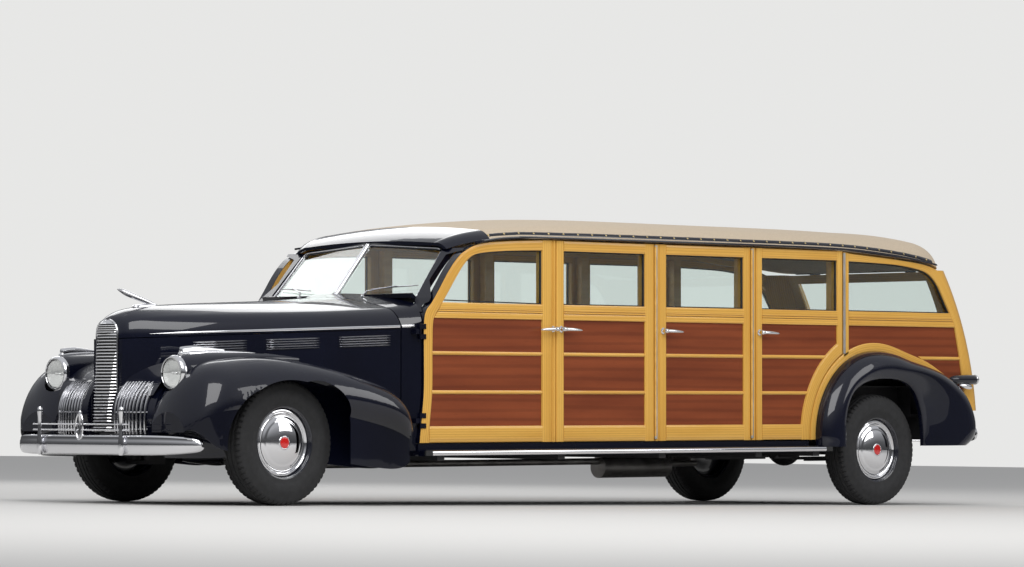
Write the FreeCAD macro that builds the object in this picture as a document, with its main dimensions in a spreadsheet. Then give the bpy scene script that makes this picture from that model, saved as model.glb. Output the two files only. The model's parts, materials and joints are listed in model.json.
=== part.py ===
import FreeCAD, Part
import math
import os

from FreeCAD import Placement, Rotation, Vector

# Eight-door station wagon with a steel front end, a wood-framed body and a fabric roof.
# Row frame: +X forward, +Y to the car's left, +Z up, origin on the floor under the middle
# of the overall length. Everything is drawn level, in the body's own frame, and each node is
# then turned by RAKE, the small nose-down angle at which the car sits on its wheels.

DIMENSIONS = (
    # alias, millimetres (degrees for the angle), what it is
    ("overall_length", 7440, "from overrider to rear bumper"),
    ("front_overhang", 935, "from front axle to the overriders"),
    ("wheelbase", 5228, "between the axles"),
    ("track_front", 1444, "between the front tyres' middles"),
    ("track_rear", 1564, "between the rear tyres' middles"),
    ("rake_angle", 0.888, "nose-down angle of the body, in degrees"),
    ("rake_level", 450, "height about which the body is raked"),
    ("tyre_radius", 375, "outside radius of a tyre"),
    ("tyre_width", 190, "section width of a tyre"),
    ("rim_radius", 213, "radius at which a tyre sits on its rim"),
    ("rim_width", 142, "width of a rim"),
    ("rim_depth", 16, "thickness of the rim's barrel"),
    ("hubcap_radius", 201, "radius of a hubcap"),
    ("hubcap_reach", 62, "from the tyre's middle out to the hubcap's crown"),
    ("spindle_radius", 22, "radius of the spindles that carry the wheels"),
    ("hub_radius", 62, "radius of a wheel's hub"),
    ("kingpin_inset", 102, "from a front tyre's middle in to its kingpin"),
    ("kingpin_height", 120, "half the height between the kingpin's eyes"),
    ("running_gap", 0.3, "clearance between fitted faces of moving pieces"),
    ("seat_gap", 0.3, "clearance between a soft or curved piece and its seat"),
    ("body_half", 840, "half the width over the wood sides"),
    ("door_thickness", 62, "thickness of a door"),
    ("door_bottom", 410, "height of the doors' lower edge"),
    ("door_top", 1675, "height of the doors' upper edge"),
    ("belt_low", 1175, "lower edge of the belt rail"),
    ("belt_high", 1272, "upper edge of the belt rail, at the glass"),
    ("glass_top", 1610, "upper edge of the door glass"),
    ("door_gap", 8, "gap round a door"),
    ("door_pitch", 905, "from one door seam to the next"),
    ("first_seam", 2188, "from the front axle back to the first seam"),
    ("meeting_shift", 19, "from the first seam back to where doors 1 and 2 meet"),
    ("pillar_width", 32, "width of the fixed wood strip behind a hinge"),
    ("front_door_edge", 1048, "from the front axle back to the front door's edge"),
    ("hinge_out", 6, "from the wood side out to a door hinge's axis"),
    ("bottom_rail", 102, "height of a door's bottom rail"),
    ("rail_height", 26, "height of the rails between the panels"),
    ("lower_rail_level", 720, "height of the lower rail's middle"),
    ("upper_rail_level", 960, "height of the upper rail's middle"),
    ("panel_recess", 12, "depth of a panel below the frame's face"),
    ("glass_thickness", 5, "thickness of the glass"),
    ("handle_level", 1115, "height of the door handles"),
    ("handle_length", 125, "length of a handle's lever"),
    ("steel_wall", 6, "thickness given to sheet steel"),
    ("arch_ahead", 26, "from the rear axle forward to the wood arch's centre"),
    ("arch_level", 430, "height of the wood arch's centre"),
    ("arch_radius", 576, "radius of the wood arch at the fender"),
    ("arch_seam_radius", 628, "radius of the seam between the last door and the arch"),
    ("arch_panel_radius", 716, "radius of the arch band's panel side"),
    ("rail_outer", 400, "half the width over the chassis rails"),
    ("rail_width", 65, "width of a chassis rail"),
    ("frame_low", 330, "underside of the chassis rails"),
    ("frame_high", 455, "top of the chassis rails under the cabin"),
    ("floor_thickness", 18, "thickness of the floor"),
    ("cargo_rise", 105, "rise of the floor over the rear axle"),
    ("frame_face", 770, "half the width over the fixed frame inside the doors"),
    ("post_depth", 55, "depth of the fixed posts"),
    ("post_width", 70, "width of the fixed posts"),
    ("cant_height", 45, "height of the cant rails"),
    ("roof_top", 1846, "height of the roof's crown"),
    ("roof_wall", 28, "thickness of the roof"),
    ("corner_radius", 150, "radius of the rear corners in plan"),
    ("gate_thickness", 50, "thickness of the tailgate and liftgate"),
    ("gate_seam", 1226, "height of the seam between the gates"),
    ("gate_bottom", 600, "height of the tailgate's lower edge"),
    ("gate_top", 1562, "height of the liftgate's upper edge"),
    ("hood_rear", 955, "from the front axle back to the hood's rear edge"),
    ("hood_half", 765, "half the hood's width at its rear edge"),
    ("board_outer", 935, "half the width over the running boards"),
    ("board_high", 362, "top of the running boards"),
    ("bumper_height", 118, "height of a bumper's blade"),
    ("front_bumper_level", 406, "height of the front blade's middle"),
    ("rear_bumper_level", 440, "height of the rear blade's middle"),
    ("bumper_half", 860, "half the bumpers' width"),
    ("overrider_spread", 390, "from the middle to an overrider"),
    ("lamp_radius", 107, "radius of a headlamp's bezel"),
    ("lamp_spread", 558, "from the middle to a headlamp"),
    ("lamp_level", 830, "height of the headlamps"),
    ("lamp_ahead", 640, "from the front axle forward to a headlamp's face"),
    ("seat_pitch", 905, "from one row of seats to the next"),
    ("seat_length", 500, "length of a seat cushion"),
    ("seat_level", 640, "underside of the cushions"),
    ("cushion_height", 165, "height of a cushion"),
    ("back_height", 520, "height of a seat back"),
    ("back_thickness", 120, "thickness of a seat back"),
    ("seat_half", 690, "half the width of a seat"),
    ("steering_radius", 205, "radius of the steering wheel"),
    ("steering_offset", 380, "from the middle to the steering wheel"),
)

DOCUMENT = FreeCAD.newDocument("Wagon")
SHEET = DOCUMENT.addObject("Spreadsheet::Sheet", "Sizes")


class Size:
    """A length with the expression that ties it to the sheet."""

    def __init__(self, value, text):
        self.value = value
        self.text = text

    def __float__(self):
        return float(self.value)

    def __add__(self, other):
        other = as_size(other)
        return Size(self.value + other.value, f"({self.text} + {other.text})")

    def __sub__(self, other):
        other = as_size(other)
        return Size(self.value - other.value, f"({self.text} - {other.text})")

    def __mul__(self, factor):
        return Size(self.value * factor, f"({self.text} * {factor})")

    def __truediv__(self, factor):
        return Size(self.value / factor, f"({self.text} / {factor})")

    def __neg__(self):
        return Size(-self.value, f"(0 - {self.text})")

    __radd__ = __add__

    def __rsub__(self, other):
        return as_size(other) - self


def as_size(value):
    """The value itself, or a plain number as a Size."""
    return value if isinstance(value, Size) else Size(float(value), repr(float(value)))


class Sizes:
    """One attribute for each alias of the sheet."""


def fill_sheet():
    sizes = Sizes()
    for row, (alias, value, note) in enumerate(DIMENSIONS, start=1):
        SHEET.set(f"A{row}", alias)
        SHEET.set(f"B{row}", str(value))
        SHEET.set(f"C{row}", note)
        SHEET.setAlias(f"B{row}", alias)
    DOCUMENT.recompute()
    for alias, _, _ in DIMENSIONS:
        setattr(sizes, alias, Size(float(getattr(SHEET, alias)), f"Sizes.{alias}"))
    return sizes


D = fill_sheet()

# Places that follow from the driving dimensions, in the level body frame.
RAKE_SINE = math.sin(math.radians(float(D.rake_angle)))
RAKE_COSINE = math.cos(math.radians(float(D.rake_angle)))
RAKE = Placement(Vector(0, 0, 0), Rotation(Vector(0, 1, 0), float(D.rake_angle)), Vector(0, 0, float(D.rake_level)))


def levelled(x, z):
    """The body-frame place of a point that is given above the floor."""
    rise = z - D.rake_level
    return x * RAKE_COSINE - rise * RAKE_SINE, D.rake_level + rise * RAKE_COSINE + x * RAKE_SINE


NOSE_X = D.overall_length / 2
TAIL_X = -NOSE_X
FRONT_AXLE = NOSE_X - D.front_overhang
REAR_AXLE = FRONT_AXLE - D.wheelbase
FRONT_HUB_X, FRONT_HUB_Z = levelled(FRONT_AXLE, D.tyre_radius)
REAR_HUB_X, REAR_HUB_Z = levelled(REAR_AXLE, D.tyre_radius)
DOOR_FRONT = FRONT_AXLE - D.front_door_edge
SEAMS = [FRONT_AXLE - D.first_seam - D.door_pitch * count for count in range(4)]
LAST_SEAM = SEAMS[-1]
MEETING = SEAMS[0] - D.meeting_shift
DOOR_INNER = D.body_half - D.door_thickness
ARCH_X = REAR_AXLE + D.arch_ahead
HOOD_REAR = FRONT_AXLE - D.hood_rear
FLOOR_TOP = D.frame_high + D.floor_thickness
CARGO_TOP = FLOOR_TOP + D.cargo_rise
WHEEL_ROOM = 50

# Radius of a hinge barrel that leaves the running gap to a door's edge.
BARREL = math.hypot(float(D.door_gap) / 2, float(D.hinge_out)) - float(D.running_gap)


def bind(feature, name, size):
    """Ties one property to the sheet."""
    feature.setExpression(name, as_size(size).text)


def block(low_x, high_x, low_y, high_y, low_z, high_z):
    """A box between two corners."""
    feature = DOCUMENT.addObject("Part::Box", "Block")
    for name, low, high in (("Length", low_x, high_x), ("Width", low_y, high_y), ("Height", low_z, high_z)):
        bind(feature, name, as_size(high) - low)
    for axis, low in (("x", low_x), ("y", low_y), ("z", low_z)):
        bind(feature, f"Placement.Base.{axis}", low)
    return feature


TURNS = {"x": Rotation(Vector(0, 1, 0), 90), "y": Rotation(Vector(1, 0, 0), -90), "z": Rotation()}


def rod(axis, radius, length, x, y, z):
    """A cylinder that starts at a point and runs along +X, +Y or +Z."""
    feature = DOCUMENT.addObject("Part::Cylinder", "Rod")
    feature.Placement = Placement(Vector(), TURNS[axis])
    bind(feature, "Radius", radius)
    bind(feature, "Height", length)
    for name, place in (("x", x), ("y", y), ("z", z)):
        bind(feature, f"Placement.Base.{name}", place)
    return feature


def strut(radius, start, end):
    """A cylinder between two points."""
    start, end = Vector(*map(float, start)), Vector(*map(float, end))
    run = end - start
    return Part.makeCylinder(float(radius), run.Length, start, run)


def mirrored(feature):
    """The same piece on the car's other side."""
    copy = DOCUMENT.addObject("Part::Mirroring", "Mirror")
    copy.Source = feature
    copy.Normal = (0, 1, 0)
    copy.Base = (0, 0, 0)
    return copy


def fused(features):
    joined = DOCUMENT.addObject("Part::MultiFuse", "Joined")
    joined.Shapes = features
    return joined


def cut(base, tool):
    rest = DOCUMENT.addObject("Part::Cut", "Rest")
    rest.Base = base
    rest.Tool = tool
    return rest


def carried(shape):
    """A helper feature that holds a shape made in code."""
    feature = DOCUMENT.addObject("Part::Feature", "Form")
    feature.Shape = shape
    return feature


NODES = []


def node(label, features):
    """A named node: one or more solids, raked with the body."""
    group = DOCUMENT.addObject("Part::Compound", "Node")
    group.Links = features
    group.Label = label
    group.Placement = RAKE
    NODES.append(group)
    return group


def formed(label, shape):
    """A named node whose shape is made in code."""
    feature = DOCUMENT.addObject("Part::Feature", "Node")
    feature.Shape = shape
    feature.Label = label
    feature.Placement = RAKE
    NODES.append(feature)
    return feature


def point(x, y, z):
    return Vector(float(x), float(y), float(z))


def line(start, end):
    return Part.LineSegment(start, end).toShape()


def arc(start, middle, end):
    return Part.Arc(start, middle, end).toShape()


def loft(wires, ruled=False):
    return Part.makeLoft(wires, True, ruled)


def flip(shape):
    """The mirror image on the car's other side."""
    return shape.mirror(Vector(0, 0, 0), Vector(0, 1, 0))


def both(shape):
    return Part.Compound([shape, flip(shape)])


def prism(outline, low_y, high_y):
    """A plate whose outline is in the XZ plane. An outline's item is a corner (x, z), or a
    corner and the middle of the arc that leads on from it (x, z, middle x, middle z)."""
    low_y, high_y = float(low_y), float(high_y)
    corners = [tuple(map(float, item)) for item in outline]
    edges = []
    for this, following in zip(corners, corners[1:] + corners[:1]):
        start = Vector(this[0], low_y, this[1])
        end = Vector(following[0], low_y, following[1])
        if len(this) == 4:
            edges.append(arc(start, Vector(this[2], low_y, this[3]), end))
        else:
            edges.append(line(start, end))
    return Part.Face(Part.Wire(edges)).extrude(Vector(0, high_y - low_y, 0))


def hoop(x, half, low, edge, crown, shoulder=0.82, rise=0.62):
    """A closed cross-section with upright sides and an arched top, in the YZ plane at x."""
    x, half, low, edge, crown = map(float, (x, half, low, edge, crown))
    climb = crown - edge
    side = (half * shoulder, edge + climb * rise)
    elbow = (half * (1 + shoulder) / 2 + half * 0.030, edge + climb * rise * 0.60)
    spots = [(-half, low), (-half, edge), (-side[0], side[1]), (side[0], side[1]), (half, edge), (half, low)]
    low_left, left, left_side, right_side, right, low_right = [Vector(x, y, z) for y, z in spots]
    return Part.Wire(
        [
            line(low_left, left),
            arc(left, Vector(x, -elbow[0], elbow[1]), left_side),
            arc(left_side, Vector(x, 0, crown), right_side),
            arc(right_side, Vector(x, elbow[0], elbow[1]), right),
            line(right, low_right),
            line(low_right, low_left),
        ]
    )


# Hood and nose.

HOOD_SECTIONS = (
    # share of the length from the rear edge, share of the rear half-width, belt height, crown height
    (0.000, 1.000, 1123, 1310),
    (0.225, 0.870, 1107, 1285),
    (0.465, 0.715, 1091, 1268),
    (0.705, 0.525, 1074, 1250),
    (0.885, 0.345, 1062, 1226),
    (0.970, 0.215, 1056, 1185),
    (1.000, 0.135, 1053, 1128),
)
HOOD_LENGTH = 1660
HOOD_SKIRT = 14
NOSE_LOW = 432


def hood_loft(inset, skirt):
    """The hood's form, made smaller all round by the inset."""
    wires = []
    last = len(HOOD_SECTIONS) - 1
    for index, (share, width, belt, crown) in enumerate(HOOD_SECTIONS):
        x = float(HOOD_REAR) + share * HOOD_LENGTH
        if index == last:
            x -= inset
        if index == 0:
            x -= 1 if inset else 0
        wires.append(hoop(x, float(D.hood_half) * width - inset, belt - skirt, belt, crown - inset))
    return loft(wires)


def belt_height(x):
    """Height of the belt line that parts the hood from the sides under it."""
    share = (float(x) - float(HOOD_REAR)) / HOOD_LENGTH
    return 1123 - 70 * share


def hood():
    wall = float(D.steel_wall)
    shell = hood_loft(0, HOOD_SKIRT).cut(hood_loft(wall, 3 * HOOD_SKIRT))
    x = float(FRONT_AXLE)
    base = prism(((x + 338, 1247), (x + 430, 1242, x + 514, 1232), (x + 508, 1222), (x + 344, 1226)), -20, 20)
    horn = prism(((x + 362, 1240), (x + 372, 1256), (x + 480, 1298, x + 560, 1324), (x + 631, 1332), (x + 560, 1294, x + 480, 1270), (x + 402, 1238)), -8, 8)
    formed("hood", shell.fuse([base, horn]).removeSplitter())


def nose_loft(inset, low, drop):
    """The engine's side panels and the shell behind the grille, under the belt line."""
    wires = []
    for share, width in ((0.0, 1.0), (0.225, 0.870), (0.465, 0.715), (0.705, 0.525), (0.885, 0.345), (1.0, 0.175)):
        x = float(HOOD_REAR) + share * HOOD_LENGTH - (inset if share == 1.0 else 0)
        half = float(D.hood_half) * width - inset
        top = belt_height(x) - HOOD_SKIRT - drop
        corners = [Vector(x, y, z) for y, z in ((-half, low), (-half, top), (half, top), (half, low))]
        wires.append(Part.Wire([line(a, b) for a, b in zip(corners, corners[1:] + corners[:1])]))
    return loft(wires, True)


def catwalk_loft(inset, low):
    """The bulge between the grille and a headlamp, which carries the side grille."""
    wires = []
    x = float(FRONT_AXLE)
    for y, reach, top in ((118, 765, 800), (300, 772, 785), (455, 720, 770)):
        y = y + inset if y == 118 else y - inset if y == 455 else y
        front = x + reach - inset
        back = x + 430
        corners = [
            Vector(back, y, low),
            Vector(back, y, top + 60 - inset),
            Vector(front - 110, y, top - inset),
            Vector(front, y, 560),
            Vector(front - 40, y, low),
        ]
        bulge = Vector(front - 22, y, top - 105 - inset)
        wires.append(
            Part.Wire(
                [
                    line(corners[0], corners[1]),
                    line(corners[1], corners[2]),
                    arc(corners[2], bulge, corners[3]),
                    line(corners[3], corners[4]),
                    line(corners[4], corners[0]),
                ]
            )
        )
    return loft(wires)


HOOD_RESTS = (-200, 420)
STEERING_ROOM = 440


def nose_shell():
    """Sheet sides with room for the steered wheels, and short rests under the hood's edge."""
    wall = float(D.steel_wall)
    outer = nose_loft(0, NOSE_LOW, float(D.door_gap) / 2)
    hollow = nose_loft(wall, NOSE_LOW - 40, -40)
    tall = nose_loft(0, NOSE_LOW, float(D.seat_gap))
    rests = [Part.makeBox(60, 1600, 60, Vector(float(FRONT_AXLE) + place, -800, belt_height(float(FRONT_AXLE) + place) - 50))
             for place in HOOD_RESTS]
    shell = outer.fuse([tall.common(rest) for rest in rests]).cut(hollow)
    room = Part.makeCylinder(STEERING_ROOM, 1700, point(FRONT_HUB_X, -850, FRONT_HUB_Z), Vector(0, 1, 0))
    below = Part.makeBox(2 * STEERING_ROOM, 1700, 300, point(FRONT_HUB_X - STEERING_ROOM, -850, FRONT_HUB_Z - 300))
    shell = shell.cut([room, below])
    catwalk = catwalk_loft(0, NOSE_LOW).cut(outer)
    hollow = catwalk_loft(wall, NOSE_LOW - 40)
    catwalk = catwalk.cut(hollow)
    formed("nose_shell", shell.fuse([catwalk, flip(catwalk)]).removeSplitter())


GRILLE_BARS = 36


def grille():
    """Horizontal bars that bow forward, on an upright carrier under a rounded cap."""
    back = float(HOOD_REAR) + HOOD_LENGTH + float(D.seat_gap)
    pieces = [prism(((back + 20, 476), (back + 16, 1060), (back + 14, 1110), (back, 1110), (back, 476)), -88, 88)]
    low, high = 482, 1062
    pitch = (high - low) / GRILLE_BARS
    for count in range(GRILLE_BARS):
        z = low + pitch * count
        share = (z - low) / (high - low)
        front = back + 60 + 26 * math.sin(math.pi * (0.35 + 0.65 * share)) - 34 * share
        left, right = Vector(back + 13, -98, z), Vector(back + 13, 98, z)
        edges = [arc(left, Vector(front, 0, z), right), line(right, left)]
        pieces.append(Part.Face(Part.Wire(edges)).extrude(Vector(0, 0, pitch * 0.55)))
    levels = ((1062, 98, 48), (1110, 86, 34), (1146, 40, 12))
    rings = []
    for z, half, reach in levels:
        left, right = Vector(back, -half, z), Vector(back, half, z)
        rings.append(Part.Wire([arc(left, Vector(back + reach, 0, z), right), line(right, left)]))
    pieces.append(loft(rings))
    formed("grille", pieces[0].fuse(pieces[1:]).removeSplitter())


def side_grilles():
    """Curved upright bars that lie on each catwalk, on two cross straps."""
    x = float(FRONT_AXLE)
    bars = []
    for count in range(10):
        y = 168 + 27 * count
        reach = 772 - 50 * max(0, (y - 300) / 155) ** 1.6
        outer = (
            (x + reach + 9, 470),
            (x + reach + 9, 560, x + reach - 12, 690),
            (x + reach - 92, 772),
            (x + reach - 92, 760, x + reach - 22, 682),
            (x + reach + 1, 560),
            (x + reach + 1, 470),
        )
        bars.append(prism(outer, y - 4, y + 4))
    for z in (500, 600):
        path = [Vector(x + 772 + 2, 160, z), Vector(x + 772 + 2, 300, z), Vector(x + 722 + 2, 420, z)]
        edges = [line(path[0], path[1]), line(path[1], path[2])]
        back = [Vector(p.x + 5, p.y, p.z) for p in path]
        ring = Part.Wire(edges + [line(path[2], back[2]), line(back[2], back[1]), line(back[1], back[0]), line(back[0], path[0])])
        bars.append(Part.Face(ring).extrude(Vector(0, 0, 8)))
    whole = bars[0].fuse(bars[1:]).cut(catwalk_loft(-float(D.seat_gap), NOSE_LOW - 60))
    solids = sorted(whole.Solids, key=lambda solid: solid.Volume)
    formed("side_grilles", both(solids[-1]))


# Cowl, windscreen and roof.

ROOF_SECTIONS = (
    # place from the front axle, inset of the side, edge height, drop of the crown
    (-1385, 128, 1606, 176),
    (-1460, 74, 1634, 132),
    (-1620, 20, 1664, 84),
    (-1900, 2, 1680, 46),
    (-2300, -8, 1686, 16),
    (-2900, -8, 1688, 0),
    (-4000, -8, 1688, 0),
    (-5000, -8, 1672, 2),
    (-5550, -2, 1638, 8),
    (-5880, 40, 1600, 42),
    (-5990, 110, 1582, 106),
    (-6030, 190, 1576, 186),
)
ROOF_SEAM = -1650


def roof_loft(inset, skirt):
    wires = []
    last = len(ROOF_SECTIONS) - 1
    for index, (place, side, edge, drop) in enumerate(ROOF_SECTIONS):
        x = float(FRONT_AXLE) + place
        if index == 0:
            x -= -1 if inset else 0
        if index == last:
            x += inset
        crown = float(D.roof_top) - drop - inset
        wires.append(hoop(x, float(D.body_half) - side - inset, edge - skirt, edge, crown, 0.84, 0.66))
    return loft(wires)


def roof_shell():
    return roof_loft(0, 0.5).cut(roof_loft(float(D.roof_wall), 60))


def roof_and_header():
    """The roof's shell is parted where the steel header meets the fabric."""
    shell = roof_shell()
    seam = float(FRONT_AXLE) + ROOF_SEAM
    front = Part.makeBox(2000, 2000, 900, Vector(seam, -1000, 1300))
    formed("roof", shell.cut(front))
    return shell.common(Part.makeBox(2000, 2000, 900, Vector(seam + float(D.seat_gap), -1000, 1300)))


def windscreen_corners(side_gap):
    """Corners of the left pane: at the middle post low and high, then outer high and low."""
    x = float(FRONT_AXLE)
    return [
        Vector(x - 1098, 14 + side_gap, 1322),
        Vector(x - 1372, 14 + side_gap, 1645),
        Vector(x - 1418, 650 - side_gap, 1606),
        Vector(x - 1150, 690 - side_gap, 1286),
    ]


def cowl(header):
    """Steel from the hood's edge to the doors, with the pillars of the windscreen and its header."""
    wall = float(D.steel_wall)
    front = float(HOOD_REAR) - float(D.door_gap)
    rear = float(DOOR_FRONT) - 62
    stations = ((front, float(D.hood_half), 1123, 1311), ((front + rear) / 2, float(D.hood_half) + 42, 1140, 1322), (rear, float(D.body_half) - 6, 1165, 1338))
    low = float(D.board_high) + float(D.seat_gap)
    outer = loft([hoop(x, half, low, edge, crown) for x, half, edge, crown in stations])
    inner = loft([hoop(x + (1 if x == front else -1 if x == rear else 0), half - wall, low - 40, edge, crown - wall) for x, half, edge, crown in stations])
    body = outer.cut(inner)
    pillar_low = float(D.belt_high) - 60
    outside = float(D.body_half) - 6
    x = float(FRONT_AXLE)
    rings = []
    for z, ahead, behind, inside in ((pillar_low, -1075, -1130, 735), (1300, -1138, -1192, 700), (1470, -1280, -1335, 676), (1612, -1404, -1470, 655)):
        corners = [Vector(x + ahead, inside, z), Vector(x + ahead - 20, outside, z), Vector(x + behind, outside, z), Vector(x + behind, inside, z)]
        rings.append(Part.Wire([line(a, b) for a, b in zip(corners, corners[1:] + corners[:1])]))
    pillar = loft(rings, True)
    scuttle = prism(((x - 1100, 1300), (x - 1090, 1326), (x - 1112, 1330), (x - 1160, 1290)), -700, 700)
    whole = body.fuse([pillar, flip(pillar), header, scuttle])
    doorway = prism(door_outline_front(-float(D.door_gap)), DOOR_INNER - 60, D.body_half + 40)
    edge = float(DOOR_FRONT) + float(D.door_gap)
    sill_room = Part.makeBox(200, 2 * float(D.body_half) + 20, 90, Vector(edge - 200, -float(D.body_half) - 10, low - 10))
    whole = whole.cut([doorway, flip(doorway), sill_room, both(windscreen_pane(-float(D.seat_gap)))])
    hinges = [hinge_barrel(z) for z in FRONT_HINGE_LEVELS]
    whole = whole.fuse(hinges + [flip(hinge) for hinge in hinges])
    formed("cowl", whole.removeSplitter())


def windscreen_pane(gap):
    """The left pane, made smaller all round by the gap."""
    low, high, outer_high, outer_low = windscreen_corners(gap)
    normal = (high - low).cross(outer_low - low)
    normal.normalize()
    drop = (outer_high - low).dot(normal)
    corners = [low, high, outer_high - normal * drop, outer_low]
    face = Part.Face(Part.Wire([line(a, b) for a, b in zip(corners, corners[1:] + corners[:1])]))
    face.translate(normal * gap)
    return face.extrude(normal * (float(D.glass_thickness) - 2 * gap))


def windscreen():
    formed("windscreen_glass", both(windscreen_pane(0)))


FRONT_HINGE_LEVELS = (545, 1090)
KNUCKLE_HEIGHT = 30
STRAP_LENGTH = 40


def hinge_axis():
    """Place of the front door's hinge axis."""
    return float(DOOR_FRONT) + float(D.door_gap) / 2, float(D.body_half) + float(D.hinge_out)


def hinge_barrel(z):
    """The cowl's part of a front door's hinge: a barrel on the door's axis with a tab."""
    axis_x, axis_y = hinge_axis()
    barrel = Part.makeCylinder(BARREL, KNUCKLE_HEIGHT, Vector(axis_x, axis_y, z - KNUCKLE_HEIGHT / 2), Vector(0, 0, 1))
    tab = Part.makeBox(34, 50, KNUCKLE_HEIGHT, Vector(axis_x, axis_y - 50, z - KNUCKLE_HEIGHT / 2))
    return barrel.fuse(tab)


def hinge_straps(z):
    """The door's part: a knuckle above and one below the cowl's barrel, each with its strap."""
    axis_x, axis_y = hinge_axis()
    edge = door_edge(z) - STRAP_LENGTH
    offset = KNUCKLE_HEIGHT / 2 + float(D.running_gap)
    pieces = []
    for low in (z + offset, z - offset - KNUCKLE_HEIGHT):
        knuckle_part = Part.makeCylinder(BARREL, KNUCKLE_HEIGHT, Vector(axis_x, axis_y, low), Vector(0, 0, 1))
        strap = Part.makeBox(axis_x - edge, 6, KNUCKLE_HEIGHT, Vector(edge, axis_y - 7, low))
        pieces += [knuckle_part, strap]
    return pieces


# Doors.


STILES = (
    # front stile, rear stile of doors 1 to 4
    (92, 115),
    (66, 82),
    (63, 65),
    (58, 57),
)


def door_edge(z):
    """Place of the front door's leading edge at a height under the belt."""
    return float(DOOR_FRONT) - (34 * (z - float(D.door_bottom)) / 310 if z < 720 else 36)


def door_ends(index):
    """Places of a door's front and rear edges, from the hinges and the fixed pillar strips."""
    half_gap = float(D.door_gap) / 2
    if index == 0:
        return float(DOOR_FRONT), float(MEETING) + half_gap
    rear = float(SEAMS[index]) + half_gap
    if index == 1:
        return float(MEETING) - half_gap, rear
    return float(SEAMS[index - 1]) - half_gap - float(D.pillar_width) - 2 * half_gap, rear


def door_outline_front(inset):
    """Outline of the front door, moved inward by the inset."""
    front = float(DOOR_FRONT) - inset
    rear = door_ends(0)[1] + inset
    low, high = float(D.door_bottom) + inset, float(D.door_top) - inset
    slope = inset * 0.75
    return (
        (front, low),
        (front - 34, 720),
        (front - 36, 1150, front - 56, 1222),
        (front - 100 + slope - inset, 1269 - slope),
        (front - 236 + slope - inset, 1459 - slope, front - 300 + slope - inset, 1533 - slope),
        (front - 370, 1588 - inset, front - 500, 1640 - inset),
        (front - 740, 1661 - inset),
        (front - 1000, high),
        (rear, high),
        (rear, low),
    )


def polar(radius, angle):
    """A point about the centre of the rear arch."""
    turn = math.radians(angle)
    return float(ARCH_X) + float(radius) * math.cos(turn), float(D.arch_level) + float(radius) * math.sin(turn)


def arch_angle(radius, height):
    """The angle at which an arch of that radius reaches a height."""
    return math.degrees(math.asin((float(height) - float(D.arch_level)) / float(radius)))


def door_outline(index, inset):
    """Outline of door 1 to 4 in the XZ plane, moved inward by the inset."""
    if index == 0:
        return door_outline_front(inset)
    half_gap = float(D.door_gap) / 2
    front, rear = door_ends(index)
    front, rear = front - inset, rear + inset
    low, high = float(D.door_bottom) + inset, float(D.door_top) - inset
    if index < 3:
        return (front, low), (front, high), (rear, high), (rear, low)
    radius = float(D.arch_seam_radius) + half_gap + inset
    bottom = arch_angle(radius, low)
    top = math.degrees(math.acos((rear - float(ARCH_X)) / radius))
    foot, knee, head = polar(radius, bottom), polar(radius, (bottom + top) / 2), polar(radius, top)
    return (front, low), (front, high), (rear, high), (head[0], head[1], knee[0], knee[1]), foot


def window_outline(index, inset):
    """Outline of a door's window."""
    low, high = float(D.belt_high) + inset, float(D.glass_top) - inset
    rear = door_ends(index)[1] + STILES[index][1] + inset
    if index:
        front = door_ends(index)[0] - STILES[index][0] - inset
        return (front, low), (front, high), (rear, high), (rear, low)
    front = float(DOOR_FRONT) - inset
    return (
        (front - 190, low),
        (front - 312, 1437 - inset, front - 368, 1505 - inset),
        (front - 432, 1558 - inset, front - 490, 1576 - inset),
        (front - 570, 1588 - inset),
        (front - 800, high - 6),
        (rear, high),
        (rear, low),
    )


def panel_outlines(index):
    """Outlines of the sunk panels of one door, from the bottom up."""
    half = float(D.rail_height) / 2
    levels = (
        (float(D.door_bottom) + float(D.bottom_rail), float(D.lower_rail_level) - half),
        (float(D.lower_rail_level) + half, float(D.upper_rail_level) - half),
        (float(D.upper_rail_level) + half, float(D.belt_low)),
    )
    front, rear = door_ends(index)
    front, rear = front - STILES[index][0], rear + STILES[index][1]
    outlines = []
    for low, high in levels:
        if index < 3:
            outlines.append(((front, low), (front, high), (rear, high), (rear, low)))
            continue
        radius = float(D.arch_panel_radius)
        bottom = arch_angle(radius, low)
        turn = math.degrees(math.acos((rear - float(ARCH_X)) / radius))
        foot, corner = polar(radius, bottom), polar(radius, turn)
        if high < corner[1]:
            top = arch_angle(radius, high)
            head, knee = polar(radius, top), polar(radius, (bottom + top) / 2)
            outlines.append(((front, low), (front, high), (head[0], head[1], knee[0], knee[1]), foot))
        else:
            knee = polar(radius, (bottom + turn) / 2)
            outlines.append(((front, low), (front, high), (rear, high), (rear, corner[1], knee[0], knee[1]), foot))
    return outlines


def handle(index):
    """A lever on a boss, pointing forward on the front door and back on the others."""
    front, rear = door_ends(index)
    if index:
        x, way = front - 34, -1
    else:
        x, way = rear + 18, 1
    y, z = float(D.body_half), float(D.handle_level)
    boss = Part.makeCylinder(16, 34, Vector(x, y - 4, z), Vector(0, 1, 0))
    length = float(D.handle_length)
    lever = Part.makeCone(10, 6, length, Vector(x, y + 27, z), Vector(way, 0, 0.05))
    return boss.fuse(lever)


DOOR_NAMES = ("front", "second", "third", "rear")


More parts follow.
